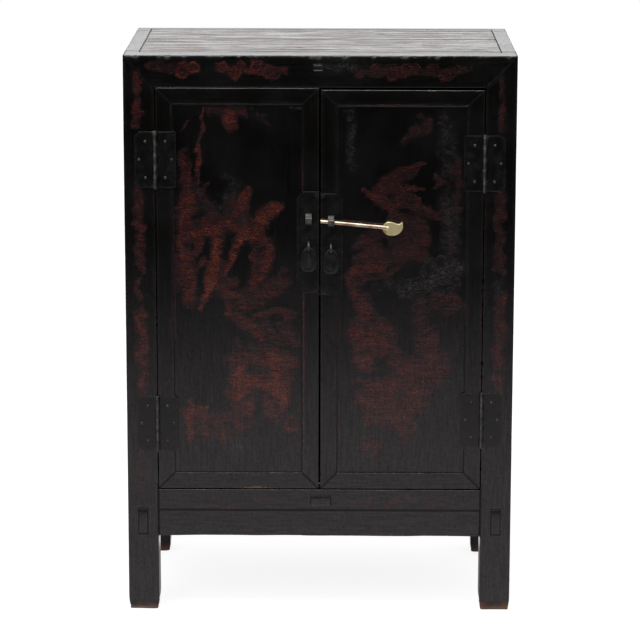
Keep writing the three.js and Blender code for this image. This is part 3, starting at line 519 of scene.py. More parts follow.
# Old varnish that has gone grey and finely cracked: soft wide runs
GREY_FILMS = [
    ([(232, 980, 20), (246, 930, 26), (246, 880, 24)], 0.6),
    ([(248, 820, 26), (254, 770, 26), (250, 726, 26)], 0.8),
    ([(270, 690, 20), (230, 676, 34), (196, 660, 30), (160, 644, 22)], 1.0),
    ([(150, 660, 24), (110, 650, 20)], 0.5),
    ([(58, 1000, 14), (58, 940, 13), (62, 884, 12)], 0.6),
    ([(-234, 850, 14), (-228, 826, 16), (-212, 800, 20)], 0.7),
    ([(-178, 866, 16), (-160, 850, 20), (-178, 820, 16)], 0.7),
    ([(-196, 800, 20), (-150, 790, 20), (-140, 776, 16)], 0.6),
    ([(-190, 996, 16), (-130, 992, 18), (-104, 978, 12)], 0.5),
    ([(-186, 350, 26), (-160, 326, 28), (-150, 360, 24)], 0.8),
    ([(-128, 520, 30), (-90, 470, 34), (-120, 430, 30)], 0.5),
    ([(270, 560, 20), (262, 480, 22), (236, 420, 24)], 0.4),
    ([(90, 700, 26), (150, 724, 30), (190, 760, 30)], 0.5),
    ([(0, 1076, 16), (64, 1078, 18)], 0.6),
    ([(346, 664, 14), (346, 628, 14)], 0.7),
]
# Lacquer gone down to the wood along the lower edges of a door and of the apron
BARE_CHIPS = [
    ([(-156, 249, 0.9), (-140, 249.4, 1.4), (-122, 250.5, 2.6), (-110, 249.5, 1.4),
      (-90, 249, 0.9)], 1.0),
    ([(40, 150, 1.6), (96, 150, 2.4), (150, 151, 3), (192, 150, 1.6)], 0.8),
    ([(-132, 151, 1.4), (-84, 151, 2)], 0.45),
]


def ring(x, z, radius, width):
    """A round flower: a ring of petals' tips, as a closed run of points."""
    turns = np.linspace(0, 2 * math.pi, 11)
    return [(x + radius * math.cos(a), z + radius * math.sin(a), width) for a in turns]


SCROLL_TURNS = 1.5
SCROLL_TAIL = 0.16
SCROLL_DEPTH = 0.85
SCROLL_WIDTH = 1.25


def scroll(x, z, radius, way, turn):
    """A spiral that winds in from a short tail."""
    run = []
    for share in np.linspace(-SCROLL_TAIL, 1, 14):
        angle = way * SCROLL_TURNS * 2 * math.pi * share + turn
        reach = radius * (1 - SCROLL_DEPTH * share)
        run.append((x + reach * math.cos(angle), z + reach * math.sin(angle), SCROLL_WIDTH))
    return run


def scrolls_of(field):
    """The scrolls of a field, none quite in line with the next."""
    (x_low, z_low), (x_high, z_high), rows, columns, level = field
    dice = np.random.default_rng(int(x_low * 7 + z_low) % 9973)
    step = np.array([(x_high - x_low) / columns, (z_high - z_low) / rows])
    for row, column in product(range(rows), range(columns)):
        x, z = np.array([x_low, z_low]) + step * (np.array([column, row]) + dice.uniform(0.25, 0.75, 2))
        radius = step.min() * dice.uniform(0.42, 0.62)
        run = scroll(x, z, radius, dice.choice((-1, 1)), dice.uniform(0, 2 * math.pi))
        yield run, level * dice.uniform(0.4, 1)


# Stands in for the length of a run of a single point, so that nothing is divided by nought
LEAST_LENGTH = 1e-9


def near_run(x, z, run, softness):
    """How far inside a run of (x, z, radius) each point lies: 1 at its middle, 0 outside."""
    run = np.array(run, float)
    if len(run) == 1:
        run = np.vstack([run, run])
    found = np.zeros(len(x))
    reach = run[:, 2].max()
    close = (x > run[:, 0].min() - reach) & (x < run[:, 0].max() + reach)
    close &= (z > run[:, 1].min() - reach) & (z < run[:, 1].max() + reach)
    if not close.any():
        return found
    px, pz = x[close], z[close]
    best = np.zeros(len(px))
    for start, end in zip(run[:-1], run[1:]):
        way = end[:2] - start[:2]
        squared_length = max(float(way @ way), LEAST_LENGTH)
        share = np.clip(((px - start[0]) * way[0] + (pz - start[1]) * way[1]) / squared_length, 0, 1)
        distance = np.hypot(px - start[0] - share * way[0], pz - start[1] - share * way[1])
        radius = start[2] + share * (end[2] - start[2])
        best = np.maximum(best, smooth_step(0, softness, 1 - distance / radius))
    found[close] = best
    return found


warp_noise = Noise(11)
wear_noise = Noise(12)
relief_noise = Noise(13)
chip_noise = Noise(14)


# How deep behind the front plane its painting and wear still reach
PAINTED_DEPTH = 6 * MM
# How far broad and fine noise push a stroke across and up, in millimetres
LIVELY = ((17, 14), (6, 4))
CALM = ((5, 4), (3, 3))
STEADY = ((0, 0), (1, 1))
# How softly a run fades towards its rim: 1 from its middle on
SOFT, BRUSHED, CRISP = 0.9, 0.8, 0.6


def painting(points):
    """Strength and warmth of the painting, rubbed lines, grey film and bare wood, at points of the front."""
    on_front = points[:, Y] < FRONT + PAINTED_DEPTH
    here = points[on_front]
    paint, warmth, rubbed_and_highlight, film, bare = np.zeros((5, len(points)))
    ragged = 20 * (chip_noise.fractal(points, 16 * MM) - 0.5)
    bare[:] = 0.9 * smooth_step(19, 2, points[:, Z] / MM + ragged)
    if not len(here):
        return paint, warmth, rubbed_and_highlight, film, bare
    broad = [warp_noise.fractal(here + offset, 22 * MM) - 0.5 for offset in (0, 3.1)]
    fine = [warp_noise(here + offset, 5 * MM) - 0.5 for offset in (5.3, 7.7)]
    exact = here[:, X] / MM, here[:, Z] / MM

    def wavering(pushes):
        """Where the points lie on the front, in millimetres, as the noise pushes them about."""
        return [exact[i] + pushes[0][i] * broad[i] + pushes[1][i] * fine[i] for i in (0, 1)]

    lively, calm, steady = [wavering(pushes) for pushes in (LIVELY, CALM, STEADY)]
    strength, heat = np.zeros((2, len(here)))

    def lay(place, run, level, warm, softness):
        nonlocal strength, heat
        cover = near_run(*place, run, softness)
        strength = np.maximum(strength, level * cover)
        heat = np.maximum(heat, warm * cover)

    def strongest(place, runs, softness):
        """The strongest of several marks at each point."""
        found = np.zeros(len(here))
        for run, level in runs:
            found = np.maximum(found, level * near_run(*place, run, softness))
        return found

    for run, level, warm in LEFT_DOOR_GROUND + RIGHT_DOOR_GROUND + POST_GROUND:
        lay(lively, run, level, warm, SOFT)
    for run, level, warm in LEFT_DOOR_PAINTING + RIGHT_DOOR_PAINTING + POST_PAINTING + SILL_PAINTING:
        lay(lively, [(px, pz, 1.2 * radius) for px, pz, radius in run], level, warm, BRUSHED)
    for run in PAINTING_GAPS:
        strength *= 1 - 0.9 * near_run(*lively, run, CRISP)
    for run, level, warm in RAIL_GROUND:
        lay(lively, run, level, warm, SOFT)
    for run, level, warm in RAIL_TRAILS:
        lay(calm, run, level, warm, CRISP)
    for cx, cz, radius, level, warm in RAIL_FLOWERS:
        lay(calm, ring(cx, cz, 0.72 * radius, 0.36 * radius), level, warm, 0.7)
        lay(calm, [(cx, cz, 0.4 * radius)], level, warm, 0.7)
        lay(calm, [(cx, cz, 1.15 * radius)], 0.45 * level, 0.3 * warm, SOFT)
    patchy = wear_noise.fractal(here, (15 * MM, 15 * MM, 9 * MM))
    strength *= 0.6 + 0.55 * smooth_step(0.3, 0.6, patchy)
    for run, level, warm in WORN_LINES:
        lay(exact, run, level, warm, BRUSHED)
    scrolls = [mark for field in SCROLL_FIELDS for mark in scrolls_of(field)]
    lines = np.maximum(strongest(steady, RUBBED_LINES, SOFT), strongest(calm, scrolls, SOFT))
    lines *= 0.3 + 0.8 * smooth_step(0.3, 0.6, wear_noise(here + 9.1, 7 * MM))
    chipped = strongest((calm[0], exact[1] + 4 * fine[1]), BARE_CHIPS, 0.7)
    paint[on_front], warmth[on_front] = np.clip(strength, 0, 1), heat
    rubbed_and_highlight[on_front], film[on_front] = np.clip(lines, 0, 1), strongest(lively, GREY_FILMS, SOFT)
    bare[on_front] = np.maximum(bare[on_front], chipped)
    return paint, warmth, rubbed_and_highlight, film, bare


ARRIS_REACH = 2.4 * MM
RIM_REACH = 1.1 * MM
FITTINGS = ("leaf", "hinge_pin", "plate", "eye", "loop")
# Boxes that overlap by more than this cross each other, and those farther apart than this don't touch
MOST_OVERLAP, MOST_GAP = 3 * MM, 4 * MM


def edge_closeness(points, low, high):
    """1 on the arrises of a piece's box, falling away from them."""
    walls = np.concatenate([np.abs(points - low), np.abs(high - points)], 1)
    second = np.sort(walls, axis=1)[:, 1]
    return np.exp(-second / ARRIS_REACH)


def rim_closeness(points, low, high, chamfer):
    """1 on the rim of a thin plate seen from the front, falling away inwards."""
    across, up = [np.minimum(points[:, i] - low[i], high[i] - points[:, i]) for i in (X, Z)]
    inward = np.minimum(np.minimum(across, up), (across + up - chamfer) / math.sqrt(2))
    return np.exp(-np.maximum(inward, 0) / RIM_REACH)


def seam_closeness(node, points):
    """1 on a piece's points that lie against a fixed neighbour, where arrises stay crisp and dirty."""
    low, high = node_box(node)
    near = np.zeros(len(points))
    for other in bodies[body_of[node]]:
        other_low, other_high = node_box(other)
        shared = (np.minimum(high, other_high) - np.maximum(low, other_low)).min()
        fitting = any(word in other for word in FITTINGS)
        if other == node or fitting or shared > MOST_OVERLAP or shared < -MOST_GAP:
            continue
        distance = np.maximum(other_low - points, points - other_high).max(1)
        near = np.maximum(near, smooth_step(3.4 * MM, 2.4 * MM, distance))
    return near


# Frame corners mitred on the front: the upright piece, the level piece
MITRES = [(f"post_front_{hand}", "top_front_rail") for hand in HANDS]
MITRES += [
    (f"{hand}_door_{stile}", f"{hand}_door_{rail}")
    for hand, stile, rail in product(HANDS, ("hinge_stile", "meeting_stile"), ("top_rail", "bottom_rail"))
]
THROUGH_TENONS = ["top_brace", "bottom_brace", "lower_side_rail_left", "lower_side_rail_right"]


def mitre_closeness(node, points):
    """1 along the mitres of a frame's front."""
    near = np.zeros(len(points))
    for upright, level in MITRES:
        if node not in (upright, level):
            continue
        upright_box, level_box = node_box(upright), node_box(level)
        low, high = np.maximum(upright_box[0], level_box[0]), np.minimum(upright_box[1], level_box[1])
        middle, size = (low + high) / 2, high - low
        frame_x, frame_z = sum(level_box)[X] / 2, sum(upright_box)[Z] / 2
        slope = size[Z] / size[X] * np.sign((middle[X] - frame_x) * (middle[Z] - frame_z))
        off = (points[:, Z] - middle[Z] - slope * (points[:, X] - middle[X])) / math.hypot(1, slope)
        within = (np.abs(points - middle) < size / 2 + 1 * MM)[:, [X, Z]].all(1)
        near = np.maximum(near, within * smooth_step(2.4 * MM, 0.9 * MM, np.abs(off)))
    return near


def tenon_closeness(node, points):
    """1 round the tenons that come through to the front, where the posts meet the sill and apron, and in
    stretches along the sill's top arris under the doors; the finish darkens the last two as painted shade.
    """
    near = np.zeros(len(points))
    if node in THROUGH_TENONS:
        return near
    skin = FRONT + 8 * MM
    for tenon in THROUGH_TENONS:
        ends = points_of(frame["nodes"][tenon].data)
        ends = ends[ends[:, Y] < skin]
        off = np.maximum(ends.min(0) - points, points - ends.max(0))[:, [X, Z]].max(1)
        near = np.maximum(near, smooth_step(2.2 * MM, 1.0 * MM, np.abs(off)))
    near *= points[:, Y] < skin
    # Painted shade: a dark line where the posts meet the sill and the apron
    if node in ("post_front_left", "post_front_right", "sill_rail", "front_apron"):
        joint = np.abs(np.abs(points[:, X]) - node_box("post_front_right")[0][X])
        beside = points[:, Z] > node_box("front_apron")[0][Z] - 1 * MM
        beside &= points[:, Z] < node_box("sill_rail")[1][Z] + 1 * MM
        near = np.maximum(near, beside * smooth_step(3.0 * MM, 1.4 * MM, joint))
    # Painted shade: dark stretches along the sill's top arris, under the doors
    if node == "sill_rail":
        shaded_stretches = smooth_step(0.62, 0.5, chip_noise.fractal(points, 45 * MM, 2))
        below_top = node_box(node)[1][Z] - points[:, Z]
        near = np.maximum(near, shaded_stretches * smooth_step(2.4 * MM, 1.0 * MM, below_top))
    return near


def panel_edge_closeness(node, points):
    """1 on a door panel where it goes under its frame, which the finish darkens as painted shade."""
    near = np.zeros(len(points))
    if not node.endswith("door_panel"):
        return near
    for piece in ("hinge_stile", "meeting_stile", "top_rail", "bottom_rail"):
        low, high = node_box(node.replace("panel", piece))
        off = np.maximum(low - points, points - high)[:, [X, Z]].max(1)
        near = np.maximum(near, smooth_step(2.6 * MM, 0.8 * MM, off))
    return near


# Worn wood: a box's surface with rounded, chipped arrises and a slightly uneven face, kept inside the node
CLOSE_LINES = [0.35 * MM, 0.9 * MM, 1.7 * MM, 2.8 * MM]
SKIN = 0.03 * MM
LEAST_RADIUS = 0.2 * MM
TOE_HEIGHT = 18 * MM


def worn_surface(
    node, low, high, steps, arris, grain, chips=0.0, uneven=0.25 * MM, furrow=0.1 * MM, feet=0.0
):
    """Points, quads, outward normals and how deep the wear goes at each point."""
    lines = [surface_lines(low[i] + SKIN, high[i] - SKIN, steps[i], CLOSE_LINES) for i in (X, Y, Z)]
    points, quads = box_shell(lines)
    radius = arris * (0.45 + wear_noise.fractal(points, 26 * MM))
    radius += chips * smooth_step(0.6, 0.85, chip_noise.fractal(points, 9 * MM, 2))
    if feet:
        worn_toe = smooth_step(TOE_HEIGHT, 0, points[:, Z] - low[Z])
        radius = np.maximum(radius, feet * worn_toe * (0.7 + 0.5 * wear_noise(points, 15 * MM)))
    at_joints = np.maximum(seam_closeness(node, points), tenon_closeness(node, points))
    radius *= 1 - 0.75 * at_joints
    radius = np.clip(radius, LEAST_RADIUS, 0.42 * (high - low).min())
    points, normal = rounded(points, low + SKIN, high - SKIN, radius)
    depth = uneven * relief_noise.fractal(points, along(grain, 60 * MM, 300 * MM), 2)
    streaks = relief_noise.fractal(points, along(grain, 3.2 * MM, 70 * MM), 2)
    depth += furrow * smooth_step(0.45, 0.75, streaks)
    return points, quads, normal, depth * (1 - at_joints)


def worn_wood(node, steps, arris, grain, box=None, shape=None, **wear):
    """A wooden node's mesh made new: the worn surface of its box, cut to the node's own joints."""
    low, high = box or node_box(node)
    steps = np.array(steps) * MM
    points, quads, normal, depth = worn_surface(node, low, high, steps, arris * MM, grain, **wear)
    if shape:
        depth = depth + shape(points, normal)
    mesh = mesh_of(points - normal * depth[:, None], quads)
    return combined(mesh, clean_copy(node), "INTERSECT")


def dress(mesh, node, box=None):
    """Gives a piece's mesh the values that its finish reads."""
    points = points_of(mesh)
    arris = edge_closeness(points, *(box or node_box(node)))
    set_attribute(mesh, "arris", arris)
    # Dark seams: dirt in the joints and mitres, and painted shade where the posts meet the sill and apron,
    # along the sill under the doors and round the door panels
    dirt_and_shade = seam_closeness(node, points) * smooth_step(0.2, 0.6, arris)
    for closeness in (mitre_closeness, tenon_closeness, panel_edge_closeness):
        dirt_and_shade = np.maximum(dirt_and_shade, closeness(node, points))
    set_attribute(mesh, "dirt_and_shade", dirt_and_shade)
    for name, values in zip(("paint", "warmth", "rubbed_and_highlight", "film", "bare"), painting(points)):
        set_attribute(mesh, name, values)
    return mesh


# Shader groups
def new_group(name, inputs, outputs):
    """A shader node group with named sockets, what its inputs give and what its outputs take."""
    group = bpy.data.node_groups.new(name, "ShaderNodeTree")
    for label, kind, value in inputs:
        socket = group.interface.new_socket(label, in_out="INPUT", socket_type=kind)
        if value is not None:
            socket.default_value = value
    for label, kind in outputs:
        group.interface.new_socket(label, in_out="OUTPUT", socket_type=kind)
    return group, group.nodes.new("NodeGroupInput").outputs, group.nodes.new("NodeGroupOutput").inputs


FLOAT, COLOUR, VECTOR = "NodeSocketFloat", "NodeSocketColor", "NodeSocketVector"


def put(tree, socket, value):
    """Links a socket to another, or sets it to a value."""
    if isinstance(value, bpy.types.NodeSocket):
        tree.links.new(value, socket)
    else:
        socket.default_value = value


def maths(tree, operation, a, b=0.0, clamp=False):
    node = tree.nodes.new("ShaderNodeMath")
    node.operation, node.use_clamp = operation, clamp
    put(tree, node.inputs[0], a)
    put(tree, node.inputs[1], b)
    return node.outputs[0]


def times(tree, a, b, clamp=False):
    return maths(tree, "MULTIPLY", a, b, clamp)


def plus(tree, a, b, clamp=False):
    return maths(tree, "ADD", a, b, clamp)


def rest_of(tree, share):
    """What a share leaves of the whole."""
    return maths(tree, "SUBTRACT", 1.0, share)


def ramp(tree, value, low, high, to_low=0.0, to_high=1.0):
    """A value stretched smoothly between two limits."""
    node = tree.nodes.new("ShaderNodeMapRange")
    node.interpolation_type = "SMOOTHSTEP"
    labels = ("Value", "From Min", "From Max", "To Min", "To Max")
    for label, given in zip(labels, (value, low, high, to_low, to_high)):
        put(tree, node.inputs[label], given)
    return node.outputs["Result"]


def blend_colours(tree, share, first, second):
    node = tree.nodes.new("ShaderNodeMix")
    node.data_type = "RGBA"
    put(tree, node.inputs["Factor"], share)
    put(tree, node.inputs["A"], first)
    put(tree, node.inputs["B"], second)
    return node.outputs["Result"]


def stretch(tree, vector, scale):
    """A place with its axes scaled, so that a pattern laid on it is finer or longer."""
    node = tree.nodes.new("ShaderNodeVectorMath")
    node.operation = "MULTIPLY"
    put(tree, node.inputs[0], vector)
    put(tree, node.inputs[1], scale)
    return node.outputs[0]


def speckle(tree, vector, detail, roughness, distortion=0.0):
    """Layered noise over a stretched place."""
    node = tree.nodes.new("ShaderNodeTexNoise")
    put(tree, node.inputs["Vector"], vector)
    node.inputs["Scale"].default_value = 1.0
    node.inputs["Detail"].default_value = detail
    node.inputs["Roughness"].default_value = roughness
    node.inputs["Distortion"].default_value = distortion
    return node.outputs["Fac"]


def rgb(red, green, blue):
    """A colour as it is seen, 0 to 255, as the linear colour that a socket takes."""
    seen = [v / 255 for v in (red, green, blue)]
    return (*[v / 12.92 if v <= 0.04045 else ((v + 0.055) / 1.055) ** 2.4 for v in seen], 1.0)


def make_grain_group():
    """Wood grain under the finish: long soft bands and fine pores."""
    group, given, out = new_group(
        "wood_grain",
        [
            ("Vector", VECTOR, None),
            ("Stretch", VECTOR, (300, 300, 12)),
            ("Pore Stretch", VECTOR, (1500, 1500, 60)),
        ],
        [("Bands", FLOAT), ("Pores", FLOAT)],
    )
    bands = speckle(group, stretch(group, given["Vector"], given["Stretch"]), 5, 0.6, 0.3)
    pores = speckle(group, stretch(group, given["Vector"], given["Pore Stretch"]), 2, 0.5)
    group.links.new(bands, out["Bands"])
    group.links.new(ramp(group, pores, 0.42, 0.66), out["Pores"])
    return group


def make_crackle_group():
    """Fine cracks in old lacquer, longer than they are high."""
    group, given, out = new_group(
        "lacquer_crackle",
        [("Vector", VECTOR, None), ("Cells", VECTOR, (110, 110, 330)), ("Width", FLOAT, 0.08)],
        [("Cracks", FLOAT)],
    )
    cells = stretch(group, given["Vector"], given["Cells"])
    wander = group.nodes.new("ShaderNodeTexNoise")
    group.links.new(cells, wander.inputs["Vector"])
    wander.inputs["Scale"].default_value = 0.6
    moved = group.nodes.new("ShaderNodeVectorMath")
    moved.operation = "ADD"
    group.links.new(cells, moved.inputs[0])
    group.links.new(wander.outputs["Color"], moved.inputs[1])
    rims = group.nodes.new("ShaderNodeTexVoronoi")
    rims.feature = "DISTANCE_TO_EDGE"
    rims.inputs["Scale"].default_value = 1.0
    group.links.new(moved.outputs[0], rims.inputs["Vector"])
    group.links.new(ramp(group, rims.outputs["Distance"], 0.0, given["Width"], 1.0, 0.0), out["Cracks"])
    return group


def make_painting_group():
    """The worn red painting, cracked into fine wavy lines: where it is left, its colour and thickness."""
    group, given, out = new_group(
        "old_painting",
        [("Vector", VECTOR, None), ("Paint", FLOAT, 0.0), ("Warmth", FLOAT, 0.0)],
        [("Cover", FLOAT), ("Colour", COLOUR), ("Ridges", FLOAT)],
    )
    place, paint = given["Vector"], given["Paint"]
    parts = group.nodes.new("ShaderNodeSeparateXYZ")
    group.links.new(place, parts.inputs[0])
    drift = speckle(group, stretch(group, place, (34, 34, 60)), 3, 0.62)
    ridge_pitch = 4.2 * MM
    height = times(group, parts.outputs["Z"], 2 * math.pi / ridge_pitch)
    waves = maths(group, "SINE", plus(group, height, times(group, drift, 30.0)))
    waves = times(group, waves, 0.5)
    flecks = speckle(group, stretch(group, place, (330, 330, 420)), 2, 0.6)
    flecks = ramp(group, flecks, 0.34, 0.66, -0.5, 0.5)

    def mixture(of_paint, of_warmth, of_waves, of_flecks):
        total = times(group, paint, of_paint)
        for value, share in ((given["Warmth"], of_warmth), (waves, of_waves), (flecks, of_flecks)):
            total = plus(group, total, times(group, value, share))
        return total

    left = ramp(group, mixture(1.25, 0.0, 0.26, 0.38), 0.12, 0.62)
    cover = times(group, left, ramp(group, paint, 0.03, 0.2))
    patches = ramp(group, speckle(group, stretch(group, place, (42, 42, 60)), 4, 0.65), 0.3, 0.7, -0.2, 0.14)
    heat = plus(group, mixture(0.2, 0.62, 0.36, 0.4), patches)
    colours = group.nodes.new("ShaderNodeValToRGB")
    stops = colours.color_ramp.elements
    stops[0].color = rgb(16, 5, 7)
    stops[1].color = rgb(86, 38, 18)
    for position, colour in ((0.3, rgb(30, 7, 9)), (0.65, rgb(55, 15, 9))):
        stops.new(position).color = colour
    group.links.new(heat, colours.inputs[0])
    group.links.new(cover, out["Cover"])
    group.links.new(colours.outputs[0], out["Colour"])
    group.links.new(plus(group, waves, 0.5), out["Ridges"])
    return group


def make_curl_group():
    """Dense small curls in old lacquer: the level lines of a smooth noise."""
    group, given, out = new_group(
        "fine_curls",
        [("Vector", VECTOR, None), ("Size", FLOAT, 1.0)],
        [("Lines", FLOAT)],
    )
    sized = stretch(group, given["Vector"], given["Size"])
    field = speckle(group, stretch(group, sized, (105, 105, 150)), 1.5, 0.45, 0.8)
    near_line = maths(group, "PINGPONG", times(group, field, 3.8), 0.5)
    broken = speckle(group, stretch(group, sized, (60, 60, 60)), 4, 0.6)
    lines = ramp(group, near_line, 0.03, 0.2, 1.0, 0.0)
    group.links.new(times(group, lines, ramp(group, broken, 0.32, 0.56, 0.2, 1.0)), out["Lines"])
    return group


def make_wear_group():
    """Where arrises and high places are rubbed through, broken up by noise."""
    group, given, out = new_group(
        "arris_wear",
        [("Vector", VECTOR, None), ("Arris", FLOAT, 0.0), ("Amount", FLOAT, 0.5)],
        [("Worn", FLOAT)],
    )
    broken = speckle(group, stretch(group, given["Vector"], (160, 160, 160)), 6, 0.7)
    worn = times(group, given["Arris"], ramp(group, broken, 0.36, 0.7, 0.15, 1.3))
    worn = times(group, worn, given["Amount"], True)
    group.links.new(worn, out["Worn"])
    return group


def make_dust_group():
    """A thin uneven bloom of dust and handling over the finish."""
    group, given, out = new_group(
        "dull_bloom",
        [("Vector", VECTOR, None), ("Size", FLOAT, 1.0)],
        [("Bloom", FLOAT), ("Scratches", FLOAT)],
    )
    sized = stretch(group, given["Vector"], given["Size"])
    broad = speckle(group, stretch(group, sized, (9, 9, 9)), 6, 0.62)
    scratch_a = speckle(group, stretch(group, sized, (18, 18, 1300)), 1, 0.5, 0.2)
    scratch_b = speckle(group, stretch(group, sized, (1100, 1100, 14)), 1, 0.5, 0.2)
    scratch_a, scratch_b = ramp(group, scratch_a, 0.68, 0.76), ramp(group, scratch_b, 0.7, 0.78)
    scratches = maths(group, "MAXIMUM", scratch_a, scratch_b)
    group.links.new(ramp(group, broad, 0.3, 0.72), out["Bloom"])
    group.links.new(scratches, out["Scratches"])
    return group


GRAIN = make_grain_group()
CRACKLE = make_crackle_group()
PAINTING = make_painting_group()
CURLS = make_curl_group()
WEAR = make_wear_group()
DUST = make_dust_group()


def use_group(tree, group, **values):
    node = tree.nodes.new("ShaderNodeGroup")
    node.node_tree = group
    for label, value in values.items():
        put(tree, node.inputs[label.replace("_", " ")], value)
    return node.outputs


def attribute(tree, name):
    node = tree.nodes.new("ShaderNodeAttribute")
    node.attribute_name = name
    return node.outputs["Fac"]


def start_material(name):
    material = bpy.data.materials.new(name)
    material.use_nodes = True
    tree = material.node_tree
    shader = next(n for n in tree.nodes if n.type == "BSDF_PRINCIPLED")
    place = tree.nodes.new("ShaderNodeTexCoord").outputs["Object"]
    return material, tree, shader, place


def grain_of(tree, place, axis, bands, pores):
    """Wood grain along an axis, with the frequencies of its bands and pores across and along it."""
    bands, pores = along(axis, *bands), along(axis, *pores)
    return use_group(tree, GRAIN, Vector=place, Stretch=bands, Pore_Stretch=pores)


def worn_arrises(tree, place, amount):
    arris = attribute(tree, "arris")
    return use_group(tree, WEAR, Vector=place, Arris=arris, Amount=amount)["Worn"]


def bump(tree, shader, height, strength, distance):
    node = tree.nodes.new("ShaderNodeBump")
    node.inputs["Strength"].default_value = strength
    node.inputs["Distance"].default_value = distance
    tree.links.new(height, node.inputs["Height"])
    tree.links.new(node.outputs["Normal"], shader.inputs["Normal"])


DEEP_BLACK = rgb(3, 3, 3)
FILM_GREY = rgb(16, 15, 16)
CURL_GREY = rgb(50, 48, 50)
RUBBED_GREY = rgb(52, 49, 48)
SCRATCH_GREY = rgb(60, 56, 52)
WORN_BROWN = rgb(46, 37, 32)
OLD_TIMBER, WARM_TIMBER = rgb(86, 68, 57), rgb(112, 70, 46)
LACQUER_ROUGHNESS = 0.17


def lacquer(name, grain, brown=(8, 7, 6), wear=0.35, painted=True):
    """Old black lacquer on wood, with its painting, rubbed arrises, seams darkened by dirt and by painted
    shade, and fine cracks.
    """
    material, tree, shader, place = start_material(name)
    wood = grain_of(tree, place, grain, (260, 9), (1500, 50))
    dust = use_group(tree, DUST, Vector=place, Size=1.0)
    dirt_and_shade, bare = attribute(tree, "dirt_and_shade"), attribute(tree, "bare")
    colour = blend_colours(tree, ramp(tree, wood["Bands"], 0.3, 0.75), DEEP_BLACK, rgb(*brown))
    height = plus(tree, times(tree, wood["Bands"], 0.4), times(tree, wood["Pores"], -0.07))
    if painted:
        film, lines, strength = [attribute(tree, mark) for mark in ("film", "rubbed_and_highlight", "paint")]
        curls = times(tree, use_group(tree, CURLS, Vector=place, Size=1.0)["Lines"], film)
        paint = use_group(tree, PAINTING, Vector=place, Paint=strength, Warmth=attribute(tree, "warmth"))
        cracks = use_group(tree, CRACKLE, Vector=place, Cells=(95, 95, 330), Width=0.09)["Cracks"]
        colour = blend_colours(tree, times(tree, film, 0.3), colour, FILM_GREY)
        colour = blend_colours(tree, times(tree, curls, 0.85), colour, CURL_GREY)
        colour = blend_colours(tree, paint["Cover"], colour, paint["Colour"])
        colour = blend_colours(tree, times(tree, lines, 0.7), colour, RUBBED_GREY)
        layer = times(tree, times(tree, paint["Ridges"], paint["Cover"]), 0.3)
        crack_depth = times(tree, cracks, ramp(tree, strength, 0.0, 0.5, -0.1, -0.3))
        for more in (layer, crack_depth, times(tree, lines, 0.9), times(tree, curls, 0.3)):
            height = plus(tree, height, more)
    worn = worn_arrises(tree, place, wear)
    worn = times(tree, worn, rest_of(tree, dirt_and_shade))
    colour = blend_colours(tree, worn, colour, WORN_BROWN)
    colour = blend_colours(tree, times(tree, dust["Scratches"], 0.1), colour, SCRATCH_GREY)
    timber = blend_colours(tree, ramp(tree, dust["Bloom"], 0.2, 0.8), OLD_TIMBER, WARM_TIMBER)
    colour = blend_colours(tree, bare, colour, timber)
    # Seams painted near-black: dirt in the joints, and painted shade in the gaps
    colour = blend_colours(tree, dirt_and_shade, colour, DEEP_BLACK)
    tree.links.new(colour, shader.inputs["Base Color"])
    rough = ramp(tree, dust["Bloom"], 0.0, 1.0, LACQUER_ROUGHNESS, LACQUER_ROUGHNESS + 0.1)
    for value, more in ((worn, 0.25), (dirt_and_shade, 0.12), (bare, 0.4)):
        rough = plus(tree, rough, times(tree, value, more))
    tree.links.new(rough, shader.inputs["Roughness"])
    mottled = ramp(tree, speckle(tree, stretch(tree, place, (170, 170, 150)), 6, 0.8), 0.3, 0.7, 0.3, 0.7)
    streaks = speckle(tree, stretch(tree, place, along(grain, 300, 20)), 5, 0.7)
    gloss = plus(tree, mottled, ramp(tree, streaks, 0.35, 0.65, -0.15, 0.15), True)
    tree.links.new(times(tree, gloss, rest_of(tree, dirt_and_shade)), shader.inputs["Coat Weight"])
    shader.inputs["Coat Roughness"].default_value = LACQUER_ROUGHNESS
    shader.inputs["Specular IOR Level"].default_value = 0.28
    bump(tree, shader, height, 0.6, 0.35 * MM)
    return material


def bare_timber(name, grain):
    """Unfinished softwood of the inside, darkened with age."""
    material, tree, shader, place = start_material(name)
    wood = grain_of(tree, place, grain, (120, 4), (1200, 40))
    dust = use_group(tree, DUST, Vector=place, Size=0.6)
    worn = worn_arrises(tree, place, 0.5)
    late_wood, early_wood = rgb(82, 56, 38), rgb(122, 92, 64)
    pore_brown, dust_brown, rubbed_pale = rgb(52, 36, 26), rgb(64, 48, 38), rgb(140, 112, 84)
    colour = blend_colours(tree, ramp(tree, wood["Bands"], 0.3, 0.7), late_wood, early_wood)
    colour = blend_colours(tree, ramp(tree, wood["Pores"], 0.0, 1.0, 0.0, 0.45), colour, pore_brown)
    colour = blend_colours(tree, ramp(tree, dust["Bloom"], 0.3, 1.0, 0.0, 0.5), colour, dust_brown)
    colour = blend_colours(tree, worn, colour, rubbed_pale)
    tree.links.new(colour, shader.inputs["Base Color"])
    tree.links.new(ramp(tree, wood["Bands"], 0.2, 0.8, 0.62, 0.82), shader.inputs["Roughness"])
    bump(tree, shader, plus(tree, wood["Bands"], times(tree, wood["Pores"], -0.6)), 0.5, 0.4 * MM)
    return material


